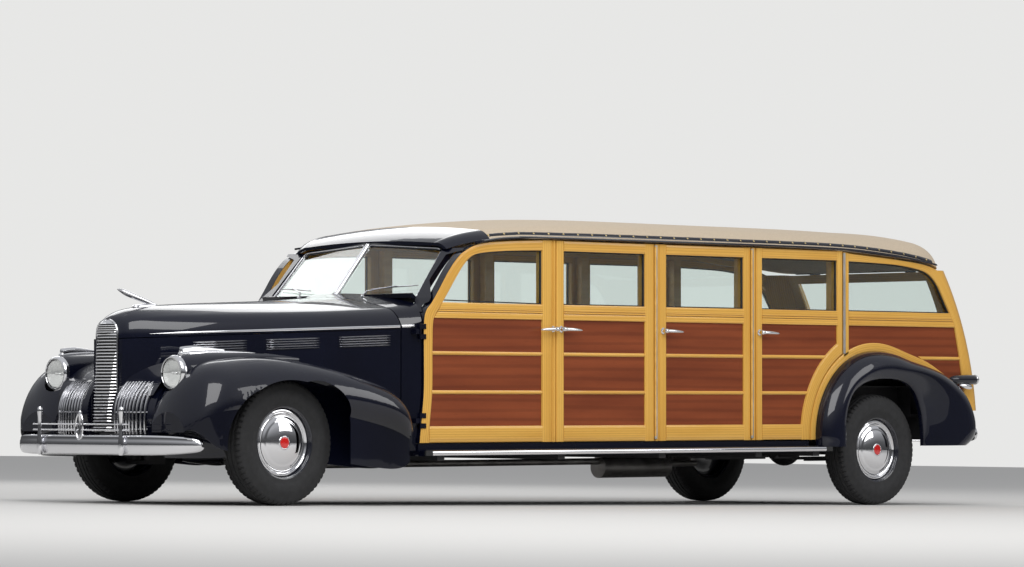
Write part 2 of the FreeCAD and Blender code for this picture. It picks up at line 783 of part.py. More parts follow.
def doors():
    sides = (("left", 1), ("right", -1))
    inner, outer = float(DOOR_INNER), float(D.body_half)
    for index, name in enumerate(DOOR_NAMES):
        leaf = prism(door_outline(index, 0), inner, outer)
        cuts = [prism(window_outline(index, 0), inner - 5, outer + 5)]
        cuts += [prism(outline, outer - float(D.panel_recess), outer + 5) for outline in panel_outlines(index)]
        fittings = [handle(index)]
        if index == 0:
            fittings += [piece for z in FRONT_HINGE_LEVELS for piece in hinge_straps(z)]
        leaf = leaf.cut(cuts).fuse(fittings)
        middle = (inner + outer) / 2
        pane = prism(window_outline(index, float(D.seat_gap)), middle, middle + float(D.glass_thickness))
        for side, way in sides:
            formed(f"door_{name}_{side}", leaf if way > 0 else flip(leaf))
            formed(f"door_glass_{name}_{side}", pane if way > 0 else flip(pane))


# Rear end.

REAR_FACE = (
    # place from the front axle of the rear face, height
    (-6033, 1560),
    (-6215, 1221),
    (-6372, 599),
)


def rear_circle():
    first, second, third = [Vector(float(FRONT_AXLE) + x, 0, z) for x, z in REAR_FACE]
    circle = Part.Arc(first, second, third).toShape().Curve
    return circle.Center, circle.Radius


REAR_CENTRE, REAR_RADIUS = rear_circle()


def rear_x(z, inset=0.0):
    """Place of the rear face, or of a face inside it, at a height."""
    radius = REAR_RADIUS - inset
    return REAR_CENTRE.x - math.sqrt(radius**2 - (float(z) - REAR_CENTRE.z) ** 2)


def rear_plate(low, high, depth, thickness, half):
    """A plate that follows the rear face between two heights."""
    low, high = float(low), float(high)
    middle = (low + high) / 2
    back, front = depth, depth + thickness
    outline = (
        (rear_x(low, back), low, rear_x(middle, back), middle),
        (rear_x(high, back), high),
        (rear_x(high, front), high, rear_x(middle, front), middle),
        (rear_x(low, front), low),
    )
    return prism(outline, -float(half), float(half))


def gates():
    """A tailgate that drops and a liftgate with a window."""
    half = float(D.body_half) - float(D.corner_radius) - float(D.door_gap)
    thick = float(D.gate_thickness)
    gap = float(D.door_gap) / 2
    seam = float(D.gate_seam)
    tail = rear_plate(D.gate_bottom, seam - gap, 0, thick, half)
    panels = []
    for low, high in ((680, 860), (890, 1150)):
        for sign in (-1, 1):
            panel = rear_plate(low, high, -20, 20 + float(D.panel_recess), half / 2 - 70)
            panel.translate(Vector(0, sign * (half / 2 - 10), 0))
            panels.append(panel)
    latch = Part.makeCylinder(14, 40, Vector(rear_x(1190) - 30, 0, 1190), Vector(1, 0, 0))
    formed("tailgate", tail.cut(panels).fuse(latch).removeSplitter())
    lift = rear_plate(seam + gap, D.gate_top, 0, thick, half)
    sill, head = seam + gap + 52, float(D.gate_top) - 58
    glass_half = half - 75
    window = rear_plate(sill, head, -20, thick + 40, glass_half)
    formed("liftgate", lift.cut(window))
    gap = float(D.seat_gap)
    formed("liftgate_glass", rear_plate(sill + gap, head - gap, 20, float(D.glass_thickness), glass_half - gap))


def corner_post():
    """The rounded post between a quarter panel and the gates."""
    radius, thick = float(D.corner_radius), float(D.gate_thickness)
    centre_y = float(D.body_half) - radius
    wires = []
    for z in (510.0, 800.0, 1220.0, 1566.0):
        x = rear_x(z) + radius
        slant = math.sqrt(0.5)
        inner = radius - thick
        outside = [Vector(x, centre_y + radius, z), Vector(x - radius * slant, centre_y + radius * slant, z), Vector(x - radius, centre_y, z)]
        inside = [Vector(x - inner, centre_y, z), Vector(x - inner * slant, centre_y + inner * slant, z), Vector(x, centre_y + inner, z)]
        lap = [Vector(x + 8, centre_y + inner, z), Vector(x + 8, centre_y + radius, z)]
        corners = [inside[2]] + lap + [outside[0]]
        edges = [arc(*outside), line(outside[2], inside[0]), arc(*inside)]
        wires.append(Part.Wire(edges + [line(a, b) for a, b in zip(corners, corners[1:])]))
    return loft(wires)


def quarter_rear(z):
    return rear_x(z) + float(D.corner_radius)


def quarters():
    """Wood quarter panels with their windows, over the rear arches."""
    front = float(LAST_SEAM) - float(D.door_gap) / 2
    low = float(D.door_bottom)
    x = float(FRONT_AXLE)
    inner, outer = float(DOOR_INNER), float(D.body_half)
    top = ((front, 1666), (x - 5525, 1624), (x - 5764, 1598), (quarter_rear(1566), 1566))
    rear = (quarter_rear(1566), 1566, quarter_rear(1100), 1100)
    outline = (front, 1000), top[0], top[1], top[2], rear, (quarter_rear(low), low), (front, low)
    panel = prism(outline, inner, outer)
    radius = float(D.arch_radius)
    wheel_hole = Part.makeCylinder(radius, 400, point(ARCH_X, inner - 100, D.arch_level), Vector(0, 1, 0))
    under = Part.makeBox(radius * 2, 400, 300, point(ARCH_X - radius, inner - 100, float(D.arch_level) - 300))
    ahead = Part.makeCylinder(float(D.arch_seam_radius) - float(D.door_gap) / 2, 400, point(ARCH_X, inner - 100, D.arch_level), Vector(0, 1, 0))
    foot = polar(float(D.arch_seam_radius) - float(D.door_gap) / 2, arch_angle(float(D.arch_seam_radius), low))[0]
    stub = prism(((foot, low), (front, low), (front, 1000), (foot, 1000)), inner, outer)
    band = stub.common(ahead)
    panel = panel.fuse(band).cut([wheel_hole, under])
    window = (
        (front - 80, float(D.belt_high)),
        (front - 80, 1606),
        (x - 5429, 1592, x - 5600, 1578),
        (x - 5739, 1550, x - 5840, 1500),
        (x - 5900, 1440),
        (x - 6000, float(D.belt_high)),
    )
    sunk = [
        ((front - 80, 1060), (front - 80, float(D.belt_low)), (x - 6060, float(D.belt_low)), (x - 6100, 1020), (x - 5700, 1020), (x - 5300, 1066)),
    ]
    cuts = [prism(window, inner - 5, outer + 5)] + [prism(item, outer - float(D.panel_recess), outer + 5) for item in sunk]
    hinge = long_hinge(LAST_SEAM, polar(D.arch_seam_radius, 60)[1], D.door_top - 25)
    panel = panel.cut(cuts).fuse([corner_post(), hinge]).removeSplitter()
    formed("quarter_panels", both(panel))
    gap = float(D.seat_gap)
    middle = (inner + outer) / 2
    centre = Vector(x - 5450, 0, 1430)
    shrunk = []
    for item in window:
        moved = []
        for px, pz in zip(item[::2], item[1::2]):
            moved += [px + (gap if px < centre.x else -gap), pz + (gap if pz < centre.z else -gap)]
        shrunk.append(tuple(moved))
    formed("quarter_glass", both(prism(shrunk, middle, middle + float(D.glass_thickness))))


def drip_rails():
    """A narrow gutter over the doors and the quarter window."""
    x = float(FRONT_AXLE)
    gap = float(D.door_gap)
    top = [(-1500, 1646), (-1700, 1674), (-2000, 1689), (-2900, 1692), (-4300, 1692), (-4900, 1686), (-5525, 1644), (-5800, 1608)]
    outline = [(x + place, height + 7) for place, height in top] + [(x + place, height - 5) for place, height in reversed(top)]
    rail = prism(outline, float(D.body_half) + gap + 0.3, float(D.body_half) + 20)
    rail = rail.cut(roof_loft(-float(D.seat_gap), 20))
    rear = x + REAR_FACE[0][0]
    strip = Part.makeBox(16, 1240, 6, Vector(rear - 2, -620, 1569))
    axis = Vector(rear - 4, 0, 1566)
    radius = (Vector(rear_x(D.gate_top), 0, float(D.gate_top)) - axis).Length - float(D.running_gap)
    barrels = [Part.makeCylinder(radius, 90, axis + Vector(0, y - 45, 0), Vector(0, 1, 0)) for y in (-450, 450)]
    formed("drip_rails", Part.Compound([rail, flip(rail), strip.fuse(barrels)]))


def framing():
    """Posts behind the seams and the cant rails that carry the roof."""
    face, depth = D.frame_face, D.post_depth
    house_top = REAR_HUB_Z + D.tyre_radius + WHEEL_ROOM + D.steel_wall
    posts = []
    for count, seam in enumerate(SEAMS):
        low = FLOOR_TOP if count < 3 else house_top
        posts.append(block(seam - D.post_width / 2, seam + D.post_width / 2, face - depth, face, low, D.glass_top + 40))
        if count in (1, 2):
            edge = seam - D.door_gap / 2
            posts.append(block(edge - D.pillar_width, edge, face - 2, D.body_half, FLOOR_TOP, D.door_top))
            posts.append(carried(long_hinge(seam, D.door_bottom + 30, D.door_top - 15)))
        for level in (820, 1130, 1560) if count else ():
            posts.append(block(seam + 8, seam + 34, face - 2, DOOR_INNER - D.seat_gap, level - 30, level + 30))
    x = float(FRONT_AXLE)
    low = float(D.glass_top) + 40
    high = float(D.door_top) + float(D.door_gap)
    line_low = [(x - 1600, 1602), (x - 1900, 1640), (x - 2100, low), (x - 5100, low), (x - 5500, low - 36)]
    outline = line_low + [(x - 5500, high - 30), (x - 5100, high), (x - 2100, high), (x - 1900, 1676), (x - 1600, 1650)]
    rail = carried(prism(outline, float(face) - float(depth), float(face)))
    whole = fused(posts + [rail])
    node("body_framing", [whole, mirrored(whole)])


def long_hinge(seam, low, high):
    """A strip hinge: its leaf on the pillar's face and its barrel on the axis."""
    height = float(high) - float(low)
    axis_y = float(D.body_half) + float(D.hinge_out)
    leaf = Part.makeBox(20, 3.5, height, Vector(float(seam) - 20, float(D.body_half) - 0.5, float(low)))
    barrel = Part.makeCylinder(BARREL, height, Vector(float(seam), axis_y, float(low)), Vector(0, 0, 1))
    return barrel.fuse(leaf)


def floor_pan():
    """Floor, toe board and firewall in one folded sheet, with boxes over the rear wheels."""
    thick = float(D.floor_thickness)
    low = float(D.frame_high)
    rise = float(D.cargo_rise)
    front = float(HOOD_REAR) - 40
    step = float(REAR_AXLE) + 700
    gate_face = rear_x(low + rise, float(D.gate_thickness))
    rear = gate_face + 110
    panels = (
        # firewall, toe board, floor, kick-up, cargo floor
        ((front - thick, low + 190), (front - thick, 1090), (front, 1090), (front, low + 184)),
        ((front - 110, low), (front - 122, low + thick), (front - thick, low + 190), (front, low + 184)),
        ((step, low), (step - 4, low + thick), (front - 122, low + thick), (front - 110, low)),
        ((step, low), (step - 300, low + rise), (step - 304, low + rise + thick), (step - 4, low + thick)),
        ((step - 300, low + rise), (rear, low + rise), (rear, low + rise + thick), (step - 304, low + rise + thick)),
    )
    half = float(D.frame_face)
    sheets = [prism(outline, -half, half) for outline in panels]
    hub = float(REAR_AXLE)
    reach = float(D.tyre_radius) + 60
    inside = float(D.track_rear) / 2 - float(D.tyre_width) / 2 - 35
    top = float(REAR_HUB_Z) + float(D.tyre_radius) + WHEEL_ROOM
    wall = float(D.steel_wall)
    outer = Part.makeBox(2 * (reach + wall), half - inside + wall, top + wall - low, Vector(hub - reach - wall, inside - wall, low))
    room = Part.makeBox(2 * reach, 400, top - low + 100, Vector(hub - reach, inside, low - 100))
    house = outer.cut(room)
    slope = prism(((step, low), (step - 300, low + rise), (step - 1500, low + rise), (step - 1500, low - 200), (step, low - 200)), -half, half)
    house = house.cut(slope)
    sheets = [sheet.cut([room, flip(room)]) for sheet in sheets]
    rear_pan = rear_plate(low - 20, low + rise + thick, float(D.gate_thickness) - 12, 12, float(D.body_half) - float(D.corner_radius) - 8)
    arm_y = float(D.rail_outer) - float(D.rail_width) / 2
    level = float(D.rear_bumper_level) - 8
    slots = [Part.makeBox(260, 42, 56, Vector(rear_x(low) - 60, sign * arm_y - 21, level)) for sign in (-1, 1)]
    rear_pan = rear_pan.cut(slots)
    shelf = Part.makeBox(150, 2 * half - 260, thick, Vector(gate_face - 30, -half + 130, low + rise))
    hinge_x = rear_x(float(D.gate_bottom)) - 4
    hinges = []
    radius = math.hypot(4, 4) - float(D.running_gap)
    for y in (-450, 0, 450):
        hinges.append(Part.makeCylinder(radius, 90, Vector(hinge_x, y - 45, float(D.gate_bottom) - 4), Vector(0, 1, 0)))
        hinges.append(Part.makeBox(54, 80, 16, Vector(hinge_x, y - 40, low + rise + thick - 1)))
    shelf = shelf.cut(rear_plate(400, 700, -100, 96 + float(D.gate_thickness), 800))
    sheets[-1] = sheets[-1].cut([outer, flip(outer)]).fuse(hinges + [shelf, rear_pan]).removeSplitter()
    sheets[-2] = sheets[-2].cut([outer, flip(outer)])
    formed("floor_pan", Part.Compound(sheets + [house, flip(house)]))


# Fenders.

FRONT_FENDER = (
    # place from the front axle, inner side, inner height, crest, crest height, outer side, its height, low edge
    (752, 478, 530, 640, 600, 770, 512, 482),
    (702, 452, 635, 690, 728, 858, 560, 474),
    (600, 455, 740, 715, 850, 915, 600, 392),
    (400, 470, 812, 740, 905, 932, 620, 365),
    (150, 520, 850, 752, 922, 940, 630, 350),
    (-100, 585, 835, 764, 905, 940, 620, 330),
    (-400, 660, 770, 780, 846, 936, 570, 290),
    (-650, 705, 700, 800, 775, 930, 520, 262),
    (-820, 735, 620, 815, 690, 920, 470, 262),
    (-905, 750, 530, 822, 590, 905, 435, 300),
)


def fender_loft(inset, low_drop):
    """The fender's form, made smaller all round by the inset and open below by the drop."""
    wires = []
    last = len(FRONT_FENDER) - 1
    for index, (place, inner, inner_z, crest, crest_z, outer, outer_z, low) in enumerate(FRONT_FENDER):
        x = float(FRONT_AXLE) + place
        x += -inset if index == 0 else inset if index == last else 0
        corners = [
            Vector(x, inner + inset, low - low_drop),
            Vector(x, inner + inset, inner_z - inset / 2),
            Vector(x, outer - inset, outer_z),
            Vector(x, outer - inset, low - low_drop),
        ]
        crown = Vector(x, crest, crest_z - inset)
        wires.append(
            Part.Wire(
                [
                    line(corners[0], corners[1]),
                    arc(corners[1], crown, corners[2]),
                    line(corners[2], corners[3]),
                    line(corners[3], corners[0]),
                ]
            )
        )
    return loft(wires)


VALLEY = (
    # place from the front axle, side inside the nose, its height, side inside the fender's panel, its height
    (600, 225, 725, 458, 730),
    (400, 300, 775, 473, 802),
    (150, 410, 812, 523, 840),
    (-100, 500, 812, 588, 825),
    (-400, 595, 752, 663, 760),
    (-650, 668, 684, 708, 690),
    (-820, 714, 604, 738, 610),
)


def valley_plate():
    """Sheet between the nose and a fender."""
    wall = float(D.steel_wall)
    wires = []
    for place, near, near_z, lap, lap_z in VALLEY:
        x = float(FRONT_AXLE) + place
        corners = [Vector(x, near, near_z - wall), Vector(x, near, near_z), Vector(x, lap, lap_z), Vector(x, lap, lap_z - wall)]
        wires.append(Part.Wire([line(a, b) for a, b in zip(corners, corners[1:] + corners[:1])]))
    return loft(wires)


def lamp_pod():
    """The fairing behind a headlamp, a half ellipse turned about the lamp's axis."""
    face = float(FRONT_AXLE) + float(D.lamp_ahead)
    radius = float(D.lamp_radius) - 5
    y, z = float(D.lamp_spread), float(D.lamp_level)
    start = Vector(face, y, z)
    rim = Vector(face, y, z + radius)
    waist = Vector(face - 230, y, z + radius * 0.86)
    tail = Vector(face - 460, y, z)
    profile = Part.Face(Part.Wire([line(start, rim), arc(rim, waist, tail), line(tail, start)]))
    return profile.revolve(start, Vector(1, 0, 0), 360)


FENDER_WHEEL_ROOM = 415


def front_fenders():
    """Outer sheet, inner panel open round the steered wheel, lamp fairing and valley in one piece."""
    wall = float(D.steel_wall)
    face = float(FRONT_AXLE) + float(D.lamp_ahead)
    lamp = Part.makeCylinder(float(D.lamp_radius) + 1, 500, point(face, D.lamp_spread, D.lamp_level), Vector(1, 0, 0))
    solid = fender_loft(0, 0).fuse(lamp_pod()).cut(lamp)
    skin = solid.cut(fender_loft(wall, 60))
    x, z = float(FRONT_HUB_X), float(FRONT_HUB_Z)
    arch = prism(
        (
            (x - 402, 200),
            (x - 402, 520, x - 330, 700),
            (x - 60, 778, x + 120, 786),
            (x + 300, 730, x + 480, 600),
            (x + 545, 400),
            (x + 545, 200),
        ),
        860,
        1000,
    )
    room = Part.makeCylinder(FENDER_WHEEL_ROOM, 360, Vector(x, 400, z), Vector(0, 1, 0))
    below = Part.makeBox(2 * FENDER_WHEEL_ROOM, 360, z, Vector(x - FENDER_WHEEL_ROOM, 400, 0))
    skin = skin.cut(arch).cut([room, below])
    nose = nose_loft(-float(D.seat_gap), 300, -100)
    catwalk = catwalk_loft(-float(D.seat_gap), 300)
    side = skin.fuse(valley_plate()).cut(nose).cut(catwalk)
    solids = sorted(side.Solids, key=lambda solid: solid.Volume)
    formed("front_fenders", both(solids[-1]))


REAR_FENDER = (
    # angle about the arch's centre and radius, for the ends of the arcs and their middles
    ((-3.0, 576), (45.0, 576), (90.0, 576)),
    ((90.0, 576), (124.0, 620), (150.0, 820)),
    ((150.0, 820), (164.0, 958), (176.0, 1008)),
    ((176.0, 1008), (180.5, 990), (184.5, 905)),
)


def rear_fender_wire(y, inset):
    edges = []
    for spots in REAR_FENDER:
        places = [polar(radius - inset, angle) for angle, radius in spots]
        edges.append(arc(*[Vector(px, y, pz) for px, pz in places]))
    first, last = edges[0].Vertexes[0].Point, edges[-1].Vertexes[-1].Point
    foot = Vector(first.x, y, float(D.board_high) + float(D.seat_gap))
    edges.append(line(last, foot))
    edges.append(line(foot, first))
    return Part.Wire(edges)


def rear_fenders():
    wall = float(D.steel_wall)
    base = float(D.body_half) + float(D.seat_gap)
    outer = loft([rear_fender_wire(y, inset) for y, inset in ((base, -2), (base + 60, 12), (base + 108, 46), (base + 130, 92))])
    inner = loft([rear_fender_wire(y, inset) for y, inset in ((base - 4, wall - 2), (base + 60, 12 + wall), (base + 104, 48 + wall), (base + 124, 94))])
    x, z = float(REAR_HUB_X), float(REAR_HUB_Z)
    arch = prism(
        ((x + 424, 200), (x + 424, 500, x + 330, 740), (x + 110, 818, x - 220, 780), (x - 372, 430), (x - 372, 200)),
        base - 10,
        base + 200,
    )
    below = Part.makeBox(2400, 400, 200, Vector(x - 1400, base - 50, 152))
    skin = outer.cut([inner, arch, below])
    solids = sorted(skin.Solids, key=lambda solid: solid.Volume)
    formed("rear_fenders", both(solids[-1]))


# Lamps, bumpers and running boards.


def headlamps():
    face = FRONT_AXLE + D.lamp_ahead + D.seat_gap
    ring = cut(rod("x", D.lamp_radius, 34, face, D.lamp_spread, D.lamp_level), rod("x", D.lamp_radius - 14, 60, face + 8, D.lamp_spread, D.lamp_level))
    node("headlamp_bezels", [ring, mirrored(ring)])
    lens = rod("x", D.lamp_radius - 14 - D.seat_gap, 18, face + 8 + D.seat_gap, D.lamp_spread, D.lamp_level)
    node("headlamp_lenses", [lens, mirrored(lens)])


def blade(stations, level, way):
    """A bumper's blade: an arched section carried along Y through its stations."""
    half = float(D.bumper_height) / 2
    wires = []
    for y, x, share in stations:
        high = half * share
        low_back, high_back = Vector(x - 26 * way, y, level - high), Vector(x - 26 * way, y, level + high)
        wires.append(Part.Wire([arc(low_back, Vector(x, y, level), high_back), line(high_back, low_back)]))
    return loft(wires)


def front_bumper():
    half = float(D.bumper_half)
    nose = float(NOSE_X)
    level = float(D.front_bumper_level)
    stations = [(-half, nose - 232, 0.62), (-half * 0.62, nose - 62, 1), (0, nose - 10, 1), (half * 0.62, nose - 62, 1), (half, nose - 232, 0.62)]
    pieces = [blade(stations, level, 1)]
    spread = float(D.overrider_spread)
    for sign in (-1, 1):
        y = sign * spread
        pieces.append(Part.makeCylinder(18, 250, Vector(nose - 26, y, level - 56), Vector(0, 0, 1)))
        pieces.append(Part.makeSphere(18, Vector(nose - 26, y, level + 194)))
        pieces.append(Part.makeBox(44, 20, 60, Vector(nose - 70, y - 10, level - 30)))
    for z in (level + 88, level + 122):
        pieces.append(Part.makeCylinder(5, 2 * spread + 150, Vector(nose - 30, -spread - 75, z), Vector(0, 1, 0)))
    guard = Part.makeTorus(36, 9, Vector(nose - 26, 0, level + 106), Vector(1, 0, 0))
    pieces += [guard, Part.makeCylinder(8, 60, Vector(nose - 26, 0, level + 20), Vector(0, 0, 1))]
    reach = float(D.rail_outer) - float(D.rail_width) / 2
    for sign in (-1, 1):
        start, end = float(FRONT_AXLE) + 735.3, nose - 60
        pieces.append(Part.makeBox(end - start, 36, 50, Vector(start, sign * reach - 18, level - 18)))
    formed("front_bumper", pieces[0].fuse(pieces[1:]).removeSplitter())


def rear_bumper():
    half = float(D.bumper_half)
    tail = float(TAIL_X)
    level = float(D.rear_bumper_level)
    stations = [(-half, tail + 190, 0.62), (-half * 0.62, tail + 60, 1), (0, tail, 1), (half * 0.62, tail + 60, 1), (half, tail + 190, 0.62)]
    pieces = [blade(stations, level, -1)]
    reach = float(D.rail_outer) - float(D.rail_width) / 2
    rail_end = float(REAR_AXLE) - 1040.3
    for sign in (-1, 1):
        start = tail + 30
        pieces.append(Part.makeBox(rail_end - start, 36, 50, Vector(start, sign * reach - 18, level - 5)))
    formed("rear_bumper", pieces[0].fuse(pieces[1:]).removeSplitter())


def running_boards():
    """Boards under the doors, with the steel valance that closes the body's lower edge."""
    front, rear = DOOR_FRONT + 38, LAST_SEAM + 258
    board = block(rear, front, D.frame_face + 20, D.board_outer, D.frame_low, D.board_high)
    valance = block(rear + 80, DOOR_FRONT + D.door_gap - D.seat_gap, D.frame_face - 20, D.body_half - 8, D.board_high, D.door_bottom - D.door_gap)
    mat = block(rear + 60, front - 60, D.body_half + 5, D.board_outer - 12, D.board_high, D.board_high + 2)
    trim = block(rear - 20, front - 4, D.board_outer, D.board_outer + 5, D.board_high - 20, D.board_high - 4)
    whole = fused([board, valance, mat, trim])
    node("running_boards", [whole, mirrored(whole)])


def tail_lamps():
    x = REAR_AXLE - 1080
    y, z = D.body_half + 46, 812
    body = rod("x", 32, 210, x, y, z)
    nose = carried(Part.makeCone(32, 14, 70, point(x + 210, y, z), Vector(1, 0, 0)))
    arm = block(x + 80, x + 130, D.body_half, D.body_half + 22, z - 14, z + 14)
    whole = fused([body, nose, arm])
    node("tail_lamps", [whole, mirrored(whole)])


# Chassis and running gear.


def chassis_frame():
    outer, width = float(D.rail_outer), float(D.rail_width)
    low, high = float(D.frame_low), float(D.frame_high)
    front, rear = float(FRONT_AXLE), float(REAR_AXLE)
    kick = float(D.cargo_rise)
    outline = (
        (front + 735, 350),
        (front + 735, 415),
        (front + 660, 415),
        (front + 300, 425),
        (front - 400, high),
        (rear + 700, high),
        (rear + 400, high + kick),
        (rear - 800, high + kick),
        (rear - 960, high + 20),
        (rear - 1040, high + 20),
        (rear - 1040, high - 45),
        (rear - 960, high - 45),
        (rear - 800, high + kick - 80),
        (rear + 350, high + kick - 80),
        (rear + 620, low),
        (front - 400, low),
        (front + 250, 345),
        (front + 660, 350),
    )
    rail = prism(outline, outer - width, outer)
    pieces = [rail, flip(rail)]
    inside = outer - width
    crosses = (
        # place, length, underside, top
        (front + 560, 90, 350, NOSE_LOW - float(D.seat_gap)),
        (front - 60, 120, 350, 415),
        (front - 1150, 80, low, low + 60),
        (front - 2700, 80, low, low + 60),
        (rear + 900, 80, low, low + 60),
        (rear - 420, 70, high + kick - 70, high + kick),
        (rear - 1000, 40, high - 40, high + 15),
    )
    for place, length, under, top in crosses:
        pieces.append(Part.makeBox(length, 2 * inside, top - under, Vector(place, -inside, under)))
    for place in (front - 1200, front - 2230, front - 3135, front - 4040, front - 4600):
        pieces.append(Part.makeBox(60, 2 * (float(D.board_outer) - 40), 30, Vector(place, -float(D.board_outer) + 40, low - 30)))
    whole = pieces[0].fuse(pieces[1:])
    shaft = strut(58, (front - 900, 0, 400), (rear, 0, REAR_HUB_Z))
    eyes = [Part.makeCylinder(14, 200, Vector(place, sign * (outer - width / 2), 320), Vector(0, 0, 1))
            for place in (front + 705, rear - 1005) for sign in (-1, 1)]
    formed("chassis_frame", whole.cut([shaft] + eyes).removeSplitter())


def engine_block():
    front = float(FRONT_AXLE)
    block_shape = Part.makeBox(900, 330, 500, Vector(front - 640, -165, 430))
    gearbox = Part.makeBox(300, 190, 200, Vector(front - 930, -95, 400))
    feet = [Part.makeBox(60, 2 * (float(D.rail_outer) - float(D.rail_width)) - 0.6, 30, Vector(front + place, -float(D.rail_outer) + float(D.rail_width) + 0.3, 440)) for place in (-500, 120)]
    formed("engine_block", block_shape.fuse([gearbox] + feet).removeSplitter())


def front_suspension():
    """Upper and lower arms that hold the kingpins, with their coil springs."""
    x, z = FRONT_HUB_X, FRONT_HUB_Z
    pin = D.track_front / 2 - D.kingpin_inset
    start = D.rail_outer
    pieces = []
    for low in (z - D.kingpin_height - 22, z + D.kingpin_height):
        arm = block(x - 45, x + 45, start, pin + 30, low, low + 22)
        pieces.append(arm)
    spring = rod("z", 42, D.kingpin_height * 2, x, start + 70, z - D.kingpin_height)
    pieces.append(spring)
    pieces.append(block(x - 60, x + 60, start, start + 12, z - D.kingpin_height - 22, z + D.kingpin_height + 22))
    whole = fused(pieces)
    holes = rod("z", D.spindle_radius - 4 + D.running_gap, 400, x, pin, z - 200)
    whole = cut(whole, holes)
    node("front_suspension", [whole, mirrored(whole)])


def knuckle(side, way):
    """A kingpin with the spindle of one front wheel."""
    x, z = FRONT_HUB_X, FRONT_HUB_Z
    pin = D.track_front / 2 - D.kingpin_inset
    post = rod("z", D.spindle_radius - 4, D.kingpin_height * 2 + 40, x, pin, z - D.kingpin_height - 20)
    body = rod("z", D.spindle_radius + 10, D.kingpin_height * 2 - D.running_gap * 2, x, pin, z - D.kingpin_height + D.running_gap)
    spindle = rod("y", D.spindle_radius, D.kingpin_inset + 14, x, pin, z)
    whole = fused([post, body, spindle])
    node(f"knuckle_{side}", [whole if way > 0 else mirrored(whole)])


def wheel_profile(centre_y, hub_x, hub_z):
    """Half section of a wheel with its hubcap, as (distance out from the tyre's middle, radius)."""
    rim, depth, half = float(D.rim_radius), float(D.rim_depth), float(D.rim_width) / 2
    hub, bore = float(D.hub_radius), float(D.spindle_radius) + float(D.running_gap)
    cap, reach = float(D.hubcap_radius), float(D.hubcap_reach)
    corners = (
        (-half, rim - depth),
        (-half, rim + 14),
        (-half + 6, rim + 14),
        (-half + 6, rim - 0.5),
        (half - 6, rim - 0.5),
        (half - 6, rim + 14),
        (half, rim + 14),
        (half, rim - depth),
        (20, rim - depth),
        (20, cap),
        (26, cap),
        (reach - 22, cap - 46),
        (reach - 22, cap - 60),
        (reach - 6, 62),
        (reach, 0),
        (16, 0),
        (16, bore),
        (-34, bore),
        (-34, hub),
        (4, hub),
        (4, rim - depth),
    )
    spots = [Vector(hub_x, centre_y + out, hub_z + radius) for out, radius in corners]
    return Part.Face(Part.Wire([line(a, b) for a, b in zip(spots, spots[1:] + spots[:1])]))


def tyre_profile(centre_y, hub_x, hub_z):
    """Section of a tyre: bead, bulged sidewall, shoulder and tread."""
    half, outer, bead = float(D.tyre_width) / 2, float(D.tyre_radius), float(D.rim_radius)
    wall = float(D.rim_width) / 2 - 6.5
    middle = (outer + bead) / 2
    tread = half - 26

    def spot(out, radius):
        return Vector(hub_x, centre_y + out, hub_z + radius)

    side = ((tread, outer - 3), (half - 9, outer - 14), (half - 3, outer - 38), (half, middle + 14),
            (half - 4, middle - 30), (wall, bead + 16), (wall, bead))
    spots = [spot(out, radius) for out, radius in side]
    spots += [spot(-out, radius) for out, radius in reversed(side)]
    spots.append(spot(0, outer))
    return Part.Face(Part.Wire([line(a, b) for a, b in zip(spots, spots[1:] + spots[:1])]))


def wheels():
    places = (
        ("front", FRONT_HUB_X, FRONT_HUB_Z, D.track_front),
        ("rear", REAR_HUB_X, REAR_HUB_Z, D.track_rear),
    )
    for name, x, z, track in places:
        x, z, y = float(x), float(z), float(track) / 2
        axle = Vector(x, y, z)
        wheel = wheel_profile(y, x, z).revolve(axle, Vector(0, 1, 0), 360)
        tyre = tyre_profile(y, x, z).revolve(axle, Vector(0, 1, 0), 360)
        for side, way in (("left", 1), ("right", -1)):
            formed(f"wheel_{name}_{side}", wheel if way > 0 else flip(wheel))
            formed(f"tyre_{name}_{side}", tyre if way > 0 else flip(tyre))


def rear_axle():
    """Axle tube, differential, propeller shaft and leaf springs."""
    x, z = float(REAR_HUB_X), float(REAR_HUB_Z)
    half = float(D.track_rear) / 2
    inner = half - 36
    tube = Part.makeCylinder(38, 2 * inner, Vector(x, -inner, z), Vector(0, 1, 0))
    spindle = Part.makeCylinder(float(D.spindle_radius), 2 * (half + 14), Vector(x, -half - 14, z), Vector(0, 1, 0))
    case = Part.makeSphere(118, Vector(x, 0, z))
    shaft = strut(34, (float(FRONT_AXLE) - 930.5, 0, 400), (x, 0, z))
    pieces = [spindle, case, shaft]
    for sign in (-1, 1):
        y = sign * (float(D.rail_outer) + 62)
        for count, length in enumerate((1240, 900, 560)):
            pieces.append(Part.makeBox(length, 50, 10, Vector(x - length / 2, y - 25, z - 58 - 10 * count)))
        pieces.append(Part.makeBox(110, 60, 50, Vector(x - 55, y - 30, z - 60)))
        for place in (-600, 600):
            low_y = min(y - sign * 25, y - sign * 61.7)
            pieces.append(Part.makeBox(26, 50, 130, Vector(x + place - 13, y - 25, z - 58)))
            pieces.append(Part.makeBox(26, 36.9, 26, Vector(x + place - 13, low_y if sign > 0 else y + 24.8, z - 58 + 104)))
    formed("rear_axle", tube.fuse(pieces).removeSplitter())


